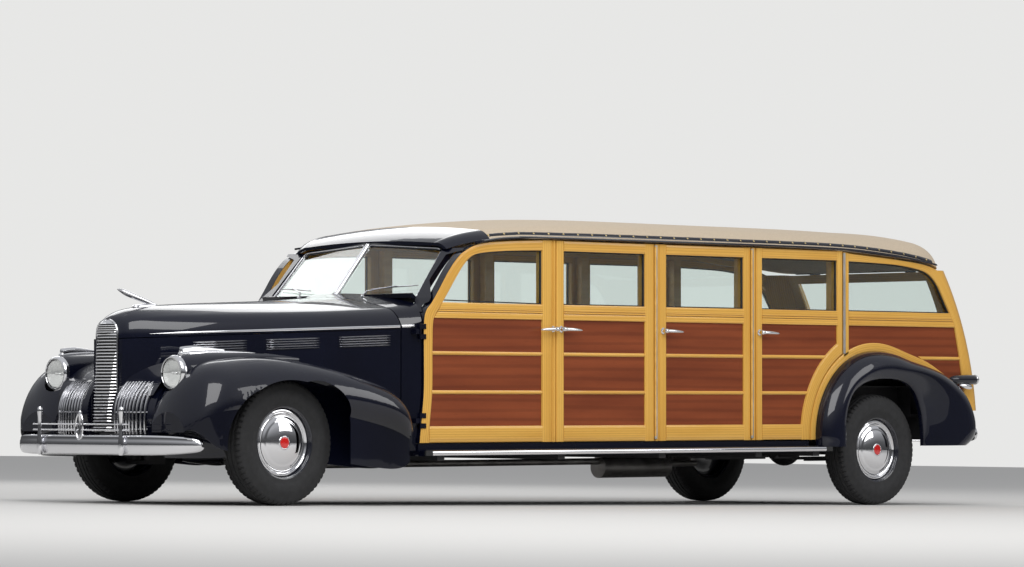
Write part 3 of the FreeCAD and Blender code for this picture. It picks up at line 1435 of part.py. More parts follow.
def exhaust():
    front = float(FRONT_AXLE)
    y = -250
    under = float(D.frame_low) - 30 - float(D.seat_gap)
    muffler = Part.makeCylinder(72, 640, Vector(front - 4300, y, 222), Vector(1, 0, 0))
    pipe = Part.makeCylinder(22, 2600, Vector(front - 3700, y, 262), Vector(1, 0, 0))
    tail = Part.makeCylinder(20, 300, Vector(front - 4600, y, 240), Vector(1, 0, 0))
    straps = [Part.makeBox(30, 20, under - 262, Vector(place, y - 10, 262)) for place in (front - 4025, front - 2215)]
    formed("exhaust", muffler.fuse([pipe, tail] + straps).removeSplitter())


def fuel_tank():
    rear = float(REAR_AXLE)
    inside = float(D.rail_outer) - float(D.rail_width)
    top = float(D.frame_high) + float(D.cargo_rise) - 70.3
    tank = Part.makeBox(520, 2 * inside - 60, 170, Vector(rear - 900, -inside + 30, top - 170))
    tank = tank.makeFillet(30, tank.Edges)
    formed("fuel_tank", tank)


# Inside the cabin.


def seats():
    cushions, backs, frames = [], [], []
    for row in range(4):
        rear = SEAMS[0] + 60 - D.seat_pitch * row
        half = D.seat_half if row < 3 else D.seat_half - 95
        front = rear + D.seat_length
        top = D.seat_level + D.cushion_height
        cushion = block(rear + D.back_thickness + D.seat_gap, front, -half, half, D.seat_level, top)
        back = block(rear, rear + D.back_thickness, -half, half, D.seat_level, D.seat_level + D.back_height)
        for soft, target in ((cushion, cushions), (back, backs)):
            round_off = DOCUMENT.addObject("Part::Fillet", "Rounded")
            round_off.Base = soft
            round_off.Edges = [(number, 26.0, 26.0) for number in range(1, 13)]
            soft_solid = round_off
            target.append(soft_solid)
        for sign in (-1, 1):
            near = half * 0.8 * sign
            frames.append(block(rear + 40 if row < 3 else REAR_AXLE + 705, front - 60, near - 30, near + 30, FLOOR_TOP, D.seat_level - D.seat_gap))
    node("seat_cushions", cushions)
    node("seat_backs", backs)
    node("seat_frames", frames)


def dashboard():
    x = float(DOOR_FRONT)
    half = float(D.frame_face) - 80
    wall = float(HOOD_REAR) - 40 - float(D.floor_thickness) - float(D.seat_gap)
    outline = (
        (x - 60, 1060),
        (x - 85, 1080),
        (x - 70, 1228),
        (x - 20, 1238),
        (x - 20, 1085),
        (wall, 1085),
        (wall, 1060),
    )
    formed("dashboard", prism(outline, -half, half))


def steering_wheel():
    y = float(D.steering_offset)
    x, z = float(DOOR_FRONT) - 400, 1070
    foot = Vector(float(HOOD_REAR) - 40 - float(D.floor_thickness), y, 770)
    centre = Vector(x, y, z)
    way = foot - centre
    reach = way.Length
    way.normalize()
    reach -= (20 * math.sqrt(1 - way.x**2) + float(D.seat_gap)) / way.x
    ring = Part.makeTorus(float(D.steering_radius), 11, centre, way)
    column = Part.makeCylinder(20, reach, centre, way)
    across = way.cross(Vector(0, 1, 0))
    spokes = []
    for turn in (90, 210, 330):
        angle = math.radians(turn)
        run = Vector(0, 1, 0) * math.cos(angle) + across * math.sin(angle)
        spokes.append(Part.makeCylinder(7, float(D.steering_radius), centre, run))
    formed("steering_wheel", ring.fuse([column] + spokes).removeSplitter())


def check_and_write():
    """Stops on a failed object, then writes one file for each node."""
    DOCUMENT.recompute()
    for item in DOCUMENT.Objects:
        if "Invalid" in item.State or "Error" in item.State:
            raise RuntimeError(f"{item.Label} failed: {item.State}")
    failed = [item.Label for item in NODES if item.Shape.isNull() or not item.Shape.isValid()]
    if failed:
        raise RuntimeError(f"these have no valid shape: {failed}")
    os.makedirs("parts", exist_ok=True)
    for item in NODES:
        item.Shape.exportStep(f"parts/{item.Label}.step")
        print(f"{item.Label:28s} solids {len(item.Shape.Solids):2d} volume {item.Shape.Volume / 1e6:9.2f} l")


def main():
    hood()
    nose_shell()
    grille()
    side_grilles()
    header = roof_and_header()
    windscreen()
    cowl(header)
    doors()
    gates()
    quarters()
    drip_rails()
    framing()
    floor_pan()
    front_fenders()
    rear_fenders()
    headlamps()
    front_bumper()
    rear_bumper()
    running_boards()
    tail_lamps()
    chassis_frame()
    engine_block()
    front_suspension()
    for side, way in (("left", 1), ("right", -1)):
        knuckle(side, way)
    wheels()
    rear_axle()
    exhaust()
    fuel_tank()
    seats()
    dashboard()
    steering_wheel()
    check_and_write()


main()
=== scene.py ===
import json
import math
import random

import bpy
from mathutils import Matrix, Vector
from mathutils.bvhtree import BVHTree

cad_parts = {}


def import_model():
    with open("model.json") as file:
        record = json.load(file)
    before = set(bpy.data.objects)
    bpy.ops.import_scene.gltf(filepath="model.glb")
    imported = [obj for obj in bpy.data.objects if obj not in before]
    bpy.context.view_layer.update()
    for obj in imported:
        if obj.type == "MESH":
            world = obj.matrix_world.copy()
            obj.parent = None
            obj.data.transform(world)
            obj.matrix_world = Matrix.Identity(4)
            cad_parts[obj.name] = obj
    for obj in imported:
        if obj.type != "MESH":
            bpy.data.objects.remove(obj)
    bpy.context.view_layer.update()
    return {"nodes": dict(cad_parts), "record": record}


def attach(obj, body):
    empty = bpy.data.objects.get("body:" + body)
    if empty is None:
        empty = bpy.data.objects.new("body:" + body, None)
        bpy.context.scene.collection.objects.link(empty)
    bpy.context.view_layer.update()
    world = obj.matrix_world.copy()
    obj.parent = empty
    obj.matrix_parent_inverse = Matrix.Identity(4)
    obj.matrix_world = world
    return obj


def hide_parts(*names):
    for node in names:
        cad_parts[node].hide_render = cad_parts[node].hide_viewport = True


# The looks of a long wood-bodied station wagon, in metres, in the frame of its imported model:
# +X forward, +Y to the car's left, +Z up. Forms are drawn in the level body frame and turned by
# the body's rake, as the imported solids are.

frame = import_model()

RAKE_ANGLE = math.radians(0.888)
RAKE_LEVEL = 0.450
RAKE = (
    Matrix.Translation((0, 0, RAKE_LEVEL))
    @ Matrix.Rotation(RAKE_ANGLE, 4, "Y")
    @ Matrix.Translation((0, 0, -RAKE_LEVEL))
)

FRONT_AXLE = 2.785
REAR_AXLE = -2.443
SIDES = (("left", False), ("right", True))


# Camera, light and floor.


def camera():
    """The photograph's view: a long lens, low down, ahead of the car and to its left."""
    place = Vector((19.254, 20.023, 0.372))
    yaw, pitch, roll = math.radians(-133.615), math.radians(2.185), math.radians(0.668)
    forward = Vector((math.cos(pitch) * math.cos(yaw), math.cos(pitch) * math.sin(yaw), math.sin(pitch)))
    right = forward.cross(Vector((0, 0, 1))).normalized()
    upward = right.cross(forward)
    side = right * math.cos(roll) + upward * math.sin(roll)
    top = upward * math.cos(roll) - right * math.sin(roll)
    data = bpy.data.cameras.new("camera")
    data.sensor_width = 36.0
    data.lens = 149.6
    data.clip_end = 200.0
    obj = bpy.data.objects.new("camera", data)
    bpy.context.scene.collection.objects.link(obj)
    turn = Matrix((side, top, -forward)).transposed()
    obj.matrix_world = Matrix.Translation(place) @ turn.to_4x4()
    bpy.context.scene.camera = obj


def area_light(name, place, target, size, power):
    data = bpy.data.lights.new(name, "AREA")
    data.shape = "RECTANGLE"
    data.size, data.size_y = size
    data.energy = power
    obj = bpy.data.objects.new(name, data)
    bpy.context.scene.collection.objects.link(obj)
    obj.location = place
    obj.rotation_euler = (Vector(target) - Vector(place)).to_track_quat("-Z", "Y").to_euler()


def world():
    """A pale surround for the camera and glass, and a room that is darker towards the horizon."""
    data = bpy.data.worlds.new("world")
    bpy.context.scene.world = data
    data.use_nodes = True
    nodes, links = data.node_tree.nodes, data.node_tree.links
    nodes.clear()
    out = nodes.new("ShaderNodeOutputWorld")
    seen = nodes.new("ShaderNodeBackground")
    seen.inputs["Color"].default_value = (0.80, 0.80, 0.79, 1)
    room = nodes.new("ShaderNodeBackground")
    room.inputs["Strength"].default_value = 0.62
    place = nodes.new("ShaderNodeTexCoord")
    split = nodes.new("ShaderNodeSeparateXYZ")
    ramp = nodes.new("ShaderNodeValToRGB")
    stops = ((0.0, 0.10), (0.10, 0.17), (0.34, 0.72), (1.0, 1.00))
    while len(ramp.color_ramp.elements) < len(stops):
        ramp.color_ramp.elements.new(0.5)
    for element, (spot, level) in zip(ramp.color_ramp.elements, stops):
        element.position = spot
        element.color = (level * 0.97, level * 0.99, level * 1.03, 1)
    path = nodes.new("ShaderNodeLightPath")
    either = nodes.new("ShaderNodeMath")
    either.operation = "MAXIMUM"
    mix = nodes.new("ShaderNodeMixShader")
    links.new(place.outputs["Generated"], split.inputs[0])
    links.new(split.outputs["Z"], ramp.inputs[0])
    links.new(ramp.outputs["Color"], room.inputs["Color"])
    links.new(path.outputs["Is Camera Ray"], either.inputs[0])
    links.new(path.outputs["Is Transmission Ray"], either.inputs[1])
    links.new(either.outputs[0], mix.inputs[0])
    links.new(room.outputs[0], mix.inputs[1])
    links.new(seen.outputs[0], mix.inputs[2])
    links.new(mix.outputs[0], out.inputs[0])


def floor():
    mesh = bpy.data.meshes.new("floor")
    half = 60.0
    mesh.from_pydata(
        [(-half, -half, 0), (half, -half, 0), (half, half, 0), (-half, half, 0)], [], [(0, 1, 2, 3)],
    )
    obj = bpy.data.objects.new("floor", mesh)
    bpy.context.scene.collection.objects.link(obj)
    made = material("floor_pale", (0.62, 0.61, 0.59), 0.9)[0]
    mesh.materials.append(made)


# Materials.

NAVY_DEEP = (0.0022, 0.0028, 0.0085)
NAVY_LIGHT = (0.0036, 0.0048, 0.0150)


def material(name, colour, roughness, **values):
    """A Principled material with its plain values set."""
    made = bpy.data.materials.new(name)
    made.use_nodes = True
    nodes, links = made.node_tree.nodes, made.node_tree.links
    shader = nodes["Principled BSDF"]
    shader.inputs["Base Color"].default_value = (*colour, 1)
    shader.inputs["Roughness"].default_value = roughness
    for key, value in values.items():
        shader.inputs[key.replace("_", " ")].default_value = value
    return made, nodes, links, shader


def noise(nodes, links, scale, detail=4.0, stretch=None):
    """A noise texture in object space, stretched along its axes."""
    place = nodes.new("ShaderNodeTexCoord")
    mapping = nodes.new("ShaderNodeMapping")
    mapping.inputs["Scale"].default_value = stretch or (1, 1, 1)
    made = nodes.new("ShaderNodeTexNoise")
    made.inputs["Scale"].default_value = scale
    made.inputs["Detail"].default_value = detail
    links.new(place.outputs["Object"], mapping.inputs["Vector"])
    links.new(mapping.outputs["Vector"], made.inputs["Vector"])
    return made


def ramp(nodes, links, source, stops):
    made = nodes.new("ShaderNodeValToRGB")
    while len(made.color_ramp.elements) < len(stops):
        made.color_ramp.elements.new(0.5)
    for element, (spot, colour) in zip(made.color_ramp.elements, stops):
        element.position = spot
        element.color = (*colour, 1) if isinstance(colour, tuple) else (colour, colour, colour, 1)
    links.new(source, made.inputs[0])
    return made


def bump(nodes, links, shader, source, strength, distance):
    made = nodes.new("ShaderNodeBump")
    made.inputs["Strength"].default_value = strength
    made.inputs["Distance"].default_value = distance
    links.new(source, made.inputs["Height"])
    links.new(made.outputs["Normal"], shader.inputs["Normal"])
    return made


def navy_paint():
    made, nodes, links, shader = material(
        "navy_paint", NAVY_DEEP, 0.30, Coat_Weight=1.0, Coat_Roughness=0.015, Specular_IOR_Level=0.08,
    )
    peel = noise(nodes, links, 90.0, 2.0)
    bump(nodes, links, shader, peel.outputs["Fac"], 0.02, 0.001)
    tone = noise(nodes, links, 1.4, 3.0)
    shade = ramp(nodes, links, tone.outputs["Fac"], ((0.3, NAVY_DEEP), (0.7, NAVY_LIGHT)))
    links.new(shade.outputs["Color"], shader.inputs["Base Color"])
    return made


def chrome():
    made, nodes, links, shader = material("chrome", (0.80, 0.80, 0.82), 0.05, Metallic=1.0)
    haze = noise(nodes, links, 14.0, 5.0)
    rough = ramp(nodes, links, haze.outputs["Fac"], ((0.35, 0.03), (0.8, 0.12)))
    links.new(rough.outputs["Color"], shader.inputs["Roughness"])
    return made


def simple(name, colour, roughness, grain=60.0, depth=0.0005, spread=0.25, **values):
    """A rough or satin finish with mottled colour and a fine bump."""
    made, nodes, links, shader = material(name, colour, roughness, **values)
    mottle = noise(nodes, links, grain * 0.12, 6.0)
    low = tuple(c * (1 - spread) for c in colour)
    high = tuple(min(1.0, c * (1 + spread)) for c in colour)
    shade = ramp(nodes, links, mottle.outputs["Fac"], ((0.3, low), (0.7, high)))
    links.new(shade.outputs["Color"], shader.inputs["Base Color"])
    fine = noise(nodes, links, grain, 6.0)
    bump(nodes, links, shader, fine.outputs["Fac"], 0.5, depth)
    return made


def glass(name, colour, roughness=0.0):
    made, nodes, links, shader = material(name, colour, roughness, Transmission_Weight=1.0, IOR=1.45)
    dust = noise(nodes, links, 5.0, 8.0)
    film = ramp(nodes, links, dust.outputs["Fac"], ((0.45, roughness), (0.85, roughness + 0.05)))
    links.new(film.outputs["Color"], shader.inputs["Roughness"])
    return made


ASH_LIGHT, ASH_DARK, ASH_LINE = (0.83, 0.49, 0.110), (0.70, 0.37, 0.066), (0.44, 0.18, 0.025)
MAHOGANY_LIGHT = (0.300, 0.072, 0.024)
MAHOGANY_DARK, MAHOGANY_LINE = (0.160, 0.034, 0.012), (0.055, 0.010, 0.004)


def grain_space(nodes, links, scale):
    """Coordinates along and across the grain, in metres times a scale."""
    place = nodes.new("ShaderNodeUVMap")
    place.uv_map = "grain"
    mapping = nodes.new("ShaderNodeMapping")
    mapping.inputs["Scale"].default_value = scale
    links.new(place.outputs["UV"], mapping.inputs["Vector"])
    return mapping


def textured(nodes, links, kind, space, **values):
    made = nodes.new(kind)
    for key, value in values.items():
        made.inputs[key.replace("_", " ")].default_value = value
    links.new(space.outputs["Vector"], made.inputs["Vector"])
    return made


def blend_colour(nodes, links, share, first, second):
    """Mixes two colours by a share: each is a socket or a plain colour."""
    made = nodes.new("ShaderNodeMix")
    made.data_type = "RGBA"
    for socket, value in ((0, share), (6, first), (7, second)):
        if isinstance(value, bpy.types.NodeSocket):
            links.new(value, made.inputs[socket])
        elif isinstance(value, tuple):
            made.inputs[socket].default_value = (*value, 1)
        else:
            made.inputs[socket].default_value = value
    return made.outputs[2]


def varnished(name, light, dark, line, bands, tone_spread, lining, coat=0.55, rough=0.34):
    """Varnished wood: broad figure, growth lines and fine pores along the grain."""
    made, nodes, links, shader = material(
        name, light, rough, Coat_Weight=coat, Coat_Roughness=0.05, Specular_IOR_Level=0.15,
    )
    broad = textured(
        nodes, links, "ShaderNodeTexNoise", grain_space(nodes, links, (0.9, 9.0, 1)), Scale=1.0, Detail=3.0,
    )
    figure = textured(
        nodes, links, "ShaderNodeTexWave", grain_space(nodes, links, (0.35, bands, 1)), Scale=1.0,
        Distortion=7.0, Detail=3.0, Detail_Scale=0.35, Detail_Roughness=0.55,
    )
    figure.bands_direction = "Y"
    pores = textured(
        nodes, links, "ShaderNodeTexNoise", grain_space(nodes, links, (14.0, 620.0, 1)), Scale=1.0,
        Detail=4.0,
    )
    tone = ramp(nodes, links, broad.outputs["Fac"], ((0.5 - tone_spread, 0.0), (0.5 + tone_spread, 1.0)))
    base = blend_colour(nodes, links, tone.outputs["Color"], dark, light)
    lines = ramp(nodes, links, figure.outputs["Fac"], ((0.0, 0.0), (0.62, 0.05), (0.9, 1.0)))
    lined = nodes.new("ShaderNodeMath")
    lined.operation = "MULTIPLY"
    lined.inputs[1].default_value = lining
    links.new(lines.outputs["Color"], lined.inputs[0])
    with_lines = blend_colour(nodes, links, lined.outputs[0], base, line)
    specks = ramp(nodes, links, pores.outputs["Fac"], ((0.60, 0.0), (0.74, 0.45)))
    final = blend_colour(nodes, links, specks.outputs["Color"], with_lines, line)
    links.new(final, shader.inputs["Base Color"])
    bump(nodes, links, shader, pores.outputs["Fac"], 0.08, 0.0004)
    return made


def ash():
    return varnished("ash_wood", ASH_LIGHT, ASH_DARK, ASH_LINE, 20.0, 0.25, 0.36)


def mahogany():
    return varnished("mahogany", MAHOGANY_LIGHT, MAHOGANY_DARK, MAHOGANY_LINE, 5.0, 0.30, 0.24)


def plain_ash():
    """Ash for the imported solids, grained along the car in object space."""
    made, nodes, links, shader = material("ash_inner", ASH_LIGHT, 0.35, Coat_Weight=0.5)
    broad = noise(nodes, links, 1.0, 4.0, (1.2, 22.0, 22.0))
    fine = noise(nodes, links, 1.0, 5.0, (12.0, 420.0, 420.0))
    base = ramp(nodes, links, broad.outputs["Fac"], ((0.32, ASH_DARK), (0.66, ASH_LIGHT)))
    specks = ramp(nodes, links, fine.outputs["Fac"], ((0.55, 0.0), (0.78, 0.4)))
    final = blend_colour(nodes, links, specks.outputs["Color"], base.outputs["Color"], ASH_LINE)
    links.new(final, shader.inputs["Base Color"])
    bump(nodes, links, shader, fine.outputs["Fac"], 0.1, 0.0004)
    return made


MATERIALS = {}


def make_materials():
    MATERIALS.update(
        navy_paint=navy_paint(),
        chrome=chrome(),
        chassis_black=simple("chassis_black", (0.018, 0.018, 0.020), 0.55),
        dash_paint=simple("dash_paint", (0.16, 0.10, 0.05), 0.35),
        engine_iron=simple("engine_iron", (0.08, 0.10, 0.09), 0.6),
        bare_steel=simple("bare_steel", (0.30, 0.29, 0.28), 0.45, Metallic=0.9),
        ash_wood=ash(),
        ash_inner=plain_ash(),
        hinge_steel=simple("hinge_steel", (0.55, 0.54, 0.52), 0.38, Metallic=0.85),
        mahogany=mahogany(),
        tan_fabric=simple("tan_fabric", (0.545, 0.450, 0.335), 0.85, 900.0, 0.0004, 0.08),
        tan_leather=simple("tan_leather", (0.36, 0.19, 0.08), 0.5, 300.0, 0.0005),
        tyre_rubber=simple("tyre_rubber", (0.016, 0.016, 0.017), 0.75, 240.0, 0.0004),
        wheel_plastic=simple("wheel_plastic", (0.05, 0.03, 0.02), 0.25),
        window_glass=glass("window_glass", (0.88, 0.94, 0.92)),
        lamp_glass=glass("lamp_glass", (0.95, 0.96, 0.95)),
        lamp_red=simple("lamp_red", (0.35, 0.01, 0.01), 0.1),
        lamp_bowl=simple("lamp_bowl", (0.90, 0.90, 0.92), 0.08, Metallic=1.0),
        brass=simple("brass", (0.62, 0.48, 0.24), 0.28, Metallic=1.0),
        wheel_paint=simple("wheel_paint", (0.006, 0.007, 0.014), 0.25, Coat_Weight=0.8),
        red_enamel=simple("red_enamel", (0.62, 0.012, 0.010), 0.12, Coat_Weight=1.0),
        trim_black=simple("trim_black", (0.015, 0.015, 0.015), 0.6),
    )


def dress_frame():
    """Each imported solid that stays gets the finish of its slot."""
    slots = {item["node"]: item["material_slot"] for item in frame["record"]["subparts"]}
    for name, obj in frame["nodes"].items():
        finish = "ash_inner" if slots[name] == "ash_wood" else slots[name]
        obj.data.materials.clear()
        obj.data.materials.append(MATERIALS[finish])


# Gathering of points and faces.

GRAIN_REACH = 40


class Shape:
    """Points and faces of one mesh, with UV places in metres: along the grain, then across."""

    def __init__(self):
        self.points, self.faces, self.spots, self.marks = [], [], [], []

    def grid(self, rows, spots, closed=False, mark=0, caps=False):
        """Quads between rows of points. A closed row's list of spots has one item more."""
        start, count = len(self.points), len(rows[0])
        for row in rows:
            self.points.extend(row)
        last = count if closed else count - 1
        for i in range(len(rows) - 1):
            for j in range(last):
                k = (j + 1) % count
                base, above = start + i * count, start + (i + 1) * count
                self.faces.append((base + j, base + k, above + k, above + j))
                self.spots.append((spots[i][j], spots[i][j + 1], spots[i + 1][j + 1], spots[i + 1][j]))
                self.marks.append(mark)
        if caps:
            for i in (0, len(rows) - 1):
                ring = [start + i * count + j for j in range(count)]
                places = list(spots[i][:count])
                self.faces.append(tuple(ring if i else ring[::-1]))
                self.spots.append(tuple(places if i else places[::-1]))
                self.marks.append(mark)

    def make(self, name, body, slot, finishes=None, mirror=False, raked=True, sharp=32.0):
        """A smooth-shaded object of this mesh, on the car's other side where mirror is set."""
        turn = RAKE if raked else Matrix.Identity(4)
        way = -1 if mirror else 1
        mesh = bpy.data.meshes.new(name)
        places = [turn @ Vector((p[0], p[1] * way, p[2])) for p in self.points]
        faces = [face[::-1] for face in self.faces] if mirror else self.faces
        spots = [spot[::-1] for spot in self.spots] if mirror else self.spots
        mesh.from_pydata(places, [], faces)
        layer = mesh.uv_layers.new(name="grain")
        layer.data.foreach_set("uv", [value for spot in spots for place in spot for value in place])
        for finish in finishes or [slot]:
            mesh.materials.append(MATERIALS[finish])
        mesh.polygons.foreach_set("material_index", self.marks)
        mesh.shade_smooth()
        mesh.set_sharp_from_angle(angle=math.radians(sharp))
        mesh.validate()
        obj = bpy.data.objects.new(name, mesh)
        bpy.context.scene.collection.objects.link(obj)
        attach(obj, body)
        return obj


def lengths(path):
    """Distance along a path to each of its points."""
    total, found = 0.0, [0.0]
    for this, following in zip(path, path[1:]):
        total += math.dist(this, following)
        found.append(total)
    return found


def bar(shape, low_edge, high_edge, back, face, round_edge=0.006, bulge=0.0):
    """A wood member between two edges of (x, z) points, from y = back out to y = face."""
    seed = random.random() * GRAIN_REACH
    rows, spots = [], []
    along = lengths([((a[0] + b[0]) / 2, (a[1] + b[1]) / 2) for a, b in zip(low_edge, high_edge)])
    for (ax, az), (bx, bz), run in zip(low_edge, high_edge, along):
        width = math.hypot(bx - ax, bz - az)
        r = min(round_edge, width * 0.45)
        profile = [(0, back), (0, face - r), (r * 0.29, face - r * 0.29), (r, face)]
        profile += [(width * share, face + bulge * 4 * share * (1 - share)) for share in (0.3, 0.5, 0.7)]
        profile += [(width - r, face), (width - r * 0.29, face - r * 0.29), (width, face - r), (width, back)]
        row, spot, across = [], [], 0.0
        before = profile[0]
        for out, y in profile + profile[:1]:
            across += math.hypot(out - before[0], y - before[1])
            before = (out, y)
            spot.append((run + seed, across + seed))
            share = out / width
            row.append(Vector((ax + (bx - ax) * share, y, az + (bz - az) * share)))
        rows.append(row[:-1])
        spots.append(spot)
    shape.grid(rows, spots, closed=True, caps=True)


def level_bar(shape, x0, x1, z0, z1, back, face, **options):
    """A level member from x0 to x1, its lower and upper edges at z0 and z1."""
    bar(shape, [(x0, z0), (x1, z0)], [(x0, z1), (x1, z1)], back, face, **options)


def post_bar(shape, x0, x1, z0, z1, back, face, **options):
    """An upright member from z0 to z1."""
    bar(shape, [(x0, z0), (x0, z1)], [(x1, z0), (x1, z1)], back, face, **options)


def turned(shape, profile, centre, axis, steps):
    """A lathe form: the profile's items are (place along the axis, radius)."""
    axis = Vector(axis).normalized()
    side = axis.orthogonal().normalized()
    other = axis.cross(side)
    centre = Vector(centre)
    rows, spots = [], []
    run = lengths(profile)
    for index, (out, radius) in enumerate(profile):
        row, spot = [], []
        for step in range(steps + 1):
            angle = 2 * math.pi * step / steps
            row.append(centre + axis * out + (side * math.cos(angle) + other * math.sin(angle)) * radius)
            spot.append((angle * radius, run[index]))
        rows.append(row[:-1])
        spots.append(spot)
    shape.grid(rows, spots, closed=True)


def tube(shape, path, radius, steps):
    """A round rod along a path of points. The radius may be a list, one for each point."""
    path = [Vector(p) for p in path]
    radii = radius if isinstance(radius, (list, tuple)) else [radius] * len(path)
    rows, spots = [], []
    along = lengths([tuple(p) for p in path])
    side = None
    for index, place in enumerate(path):
        ahead = path[min(index + 1, len(path) - 1)] - path[max(index - 1, 0)]
        ahead.normalize()
        if side is None:
            side = ahead.orthogonal().normalized()
        side = (side - ahead * side.dot(ahead)).normalized()
        other = ahead.cross(side)
        row, spot = [], []
        for step in range(steps + 1):
            angle = 2 * math.pi * step / steps
            row.append(place + (side * math.cos(angle) + other * math.sin(angle)) * radii[index])
            spot.append((along[index], angle * radii[index]))
        rows.append(row[:-1])
        spots.append(spot)
    shape.grid(rows, spots, closed=True, caps=True)


def arc_points(centre, radius, first, last, count):
    """Points of an arc, by angles in degrees."""
    found = []
    for step in range(count + 1):
        angle = math.radians(first + (last - first) * step / count)
        found.append((centre[0] + radius * math.cos(angle), centre[1] + radius * math.sin(angle)))
    return found


def smooth(knots, count):
    """A Catmull-Rom curve through the knots, as count + 1 tuples."""
    ends = [tuple(2 * a - b for a, b in zip(knots[0], knots[1]))] + list(knots)
    ends.append(tuple(2 * a - b for a, b in zip(knots[-1], knots[-2])))
    found = []
    for step in range(count + 1):
        place = step / count * (len(knots) - 1)
        index = min(int(place), len(knots) - 2)
        t = place - index
        four = ends[index:index + 4]
        found.append(tuple(
            0.5 * (2 * b + (c - a) * t + (2 * a - 5 * b + 4 * c - d) * t**2 + (3 * b - a - 3 * c + d) * t**3)
            for a, b, c, d in zip(*four)
        ))
    return found


# The wood body: doors, quarters and gates.

BODY_FACE = 0.840
DOOR_BACK = 0.778
PANEL_FACE = BODY_FACE - 0.012
DOOR_FRONT = FRONT_AXLE - 1.048
HALF_GAP = 0.004
FIRST_SEAM, DOOR_PITCH = FRONT_AXLE - 2.188, 0.905
GLASS_FACE = 0.8145
SILL, HEAD = 0.410, 1.675
BOTTOM_RAIL_TOP = 0.512
RAIL_LEVELS = (0.720, 0.960)
RAIL_HALF = 0.013
BELT_LOW, BELT_HIGH, GLASS_TOP = 1.175, 1.272, 1.610
ARCH = (REAR_AXLE + 0.026, 0.430)
ARCH_SEAM, ARCH_PANEL = 0.628, 0.716
BEAD = 0.030

DOORS = (
    # name, front edge, inner edge of the front stile, of the rear stile, rear edge, way the handle points
    ("front", DOOR_FRONT, 0, 0.697, 0.582, 1),
    ("second", 0.574, 0.508, -0.222, -0.304, -1),
    ("third", -0.352, -0.415, -1.144, -1.209, -1),
    ("rear", -1.266, -1.321, -2.061, -2.114, -1),
)
FRONT_MEMBER = (
    # outer edge x behind the door's front, its z, inner edge x, its z
    (0.000, 0.410, 0.079, 0.410),
    (0.011, 0.512, 0.082, 0.512),
    (0.034, 0.720, 0.104, 0.720),
    (0.035, 0.960, 0.106, 0.960),
    (0.036, 1.150, 0.110, 1.140),
    (0.056, 1.222, 0.133, 1.200),
    (0.100, 1.269, 0.190, 1.272),
    (0.168, 1.362, 0.252, 1.355),
    (0.236, 1.459, 0.312, 1.437),
    (0.300, 1.533, 0.368, 1.505),
    (0.370, 1.588, 0.432, 1.558),
    (0.500, 1.638, 0.520, 1.582),
    (0.740, 1.661, 0.740, 1.600),
    (1.040, 1.675, 1.040, 1.610),
)


def lit(count):
    """A fresh shape, with the random draws that its grain uses seeded."""
    random.seed(count)
    return Shape()


def plate(shape, outline, low_y, high_y, mark=0):
    """A flat plate of a convex outline of (x, z) points; its grain runs along x."""
    seed = random.random() * GRAIN_REACH
    rows, spots = [], []
    for y in (low_y, high_y):
        rows.append([Vector((x, y, z)) for x, z in outline])
        spots.append([(x + seed, z + seed) for x, z in list(outline) + [outline[0]]])
    shape.grid(rows, spots, closed=True, mark=mark, caps=True)


def belt(shape, front_low, front_high, rear_low, rear_high):
    """The belt rail: two boards with a raised bead between them."""
    def edge(level):
        share = (level - BELT_LOW) / (BELT_HIGH - BELT_LOW)
        return (
            front_low + (front_high - front_low) * share,
            rear_low + (rear_high - rear_low) * share,
        )
    for low, high, face, bulge in (
        (BELT_LOW, 1.2135, BODY_FACE, 0.0),
        (1.2150, 1.2270, BODY_FACE + 0.002, 0.001),
        (1.2285, BELT_HIGH, BODY_FACE, 0.0),
    ):
        bottom, top = edge(low), edge(high)
        bar(shape, [(bottom[1], low), (bottom[0], low)], [(top[1], high), (top[0], high)],
            DOOR_BACK, face, round_edge=0.004, bulge=bulge)


def member_line(count=72):
    """Edges of the front door's curved front member: outer points, then inner points."""
    line = smooth(FRONT_MEMBER, count)
    outer = [(DOOR_FRONT - a, b) for a, b, c, d in line]
    inner = [(DOOR_FRONT - c, d) for a, b, c, d in line]
    return outer, inner


def inner_front(level):
    """Place of the front member's inner edge at a height."""
    inner = member_line(200)[1]
    return min(inner[:140], key=lambda spot: abs(spot[1] - level))[0]


def arch_spot(radius, angle):
    turn = math.radians(angle)
    return ARCH[0] + radius * math.cos(turn), ARCH[1] + radius * math.sin(turn)


def arch_x(radius, level):
    """Place at which the arch's front side crosses a height."""
    return ARCH[0] + math.sqrt(radius**2 - (level - ARCH[1]) ** 2)


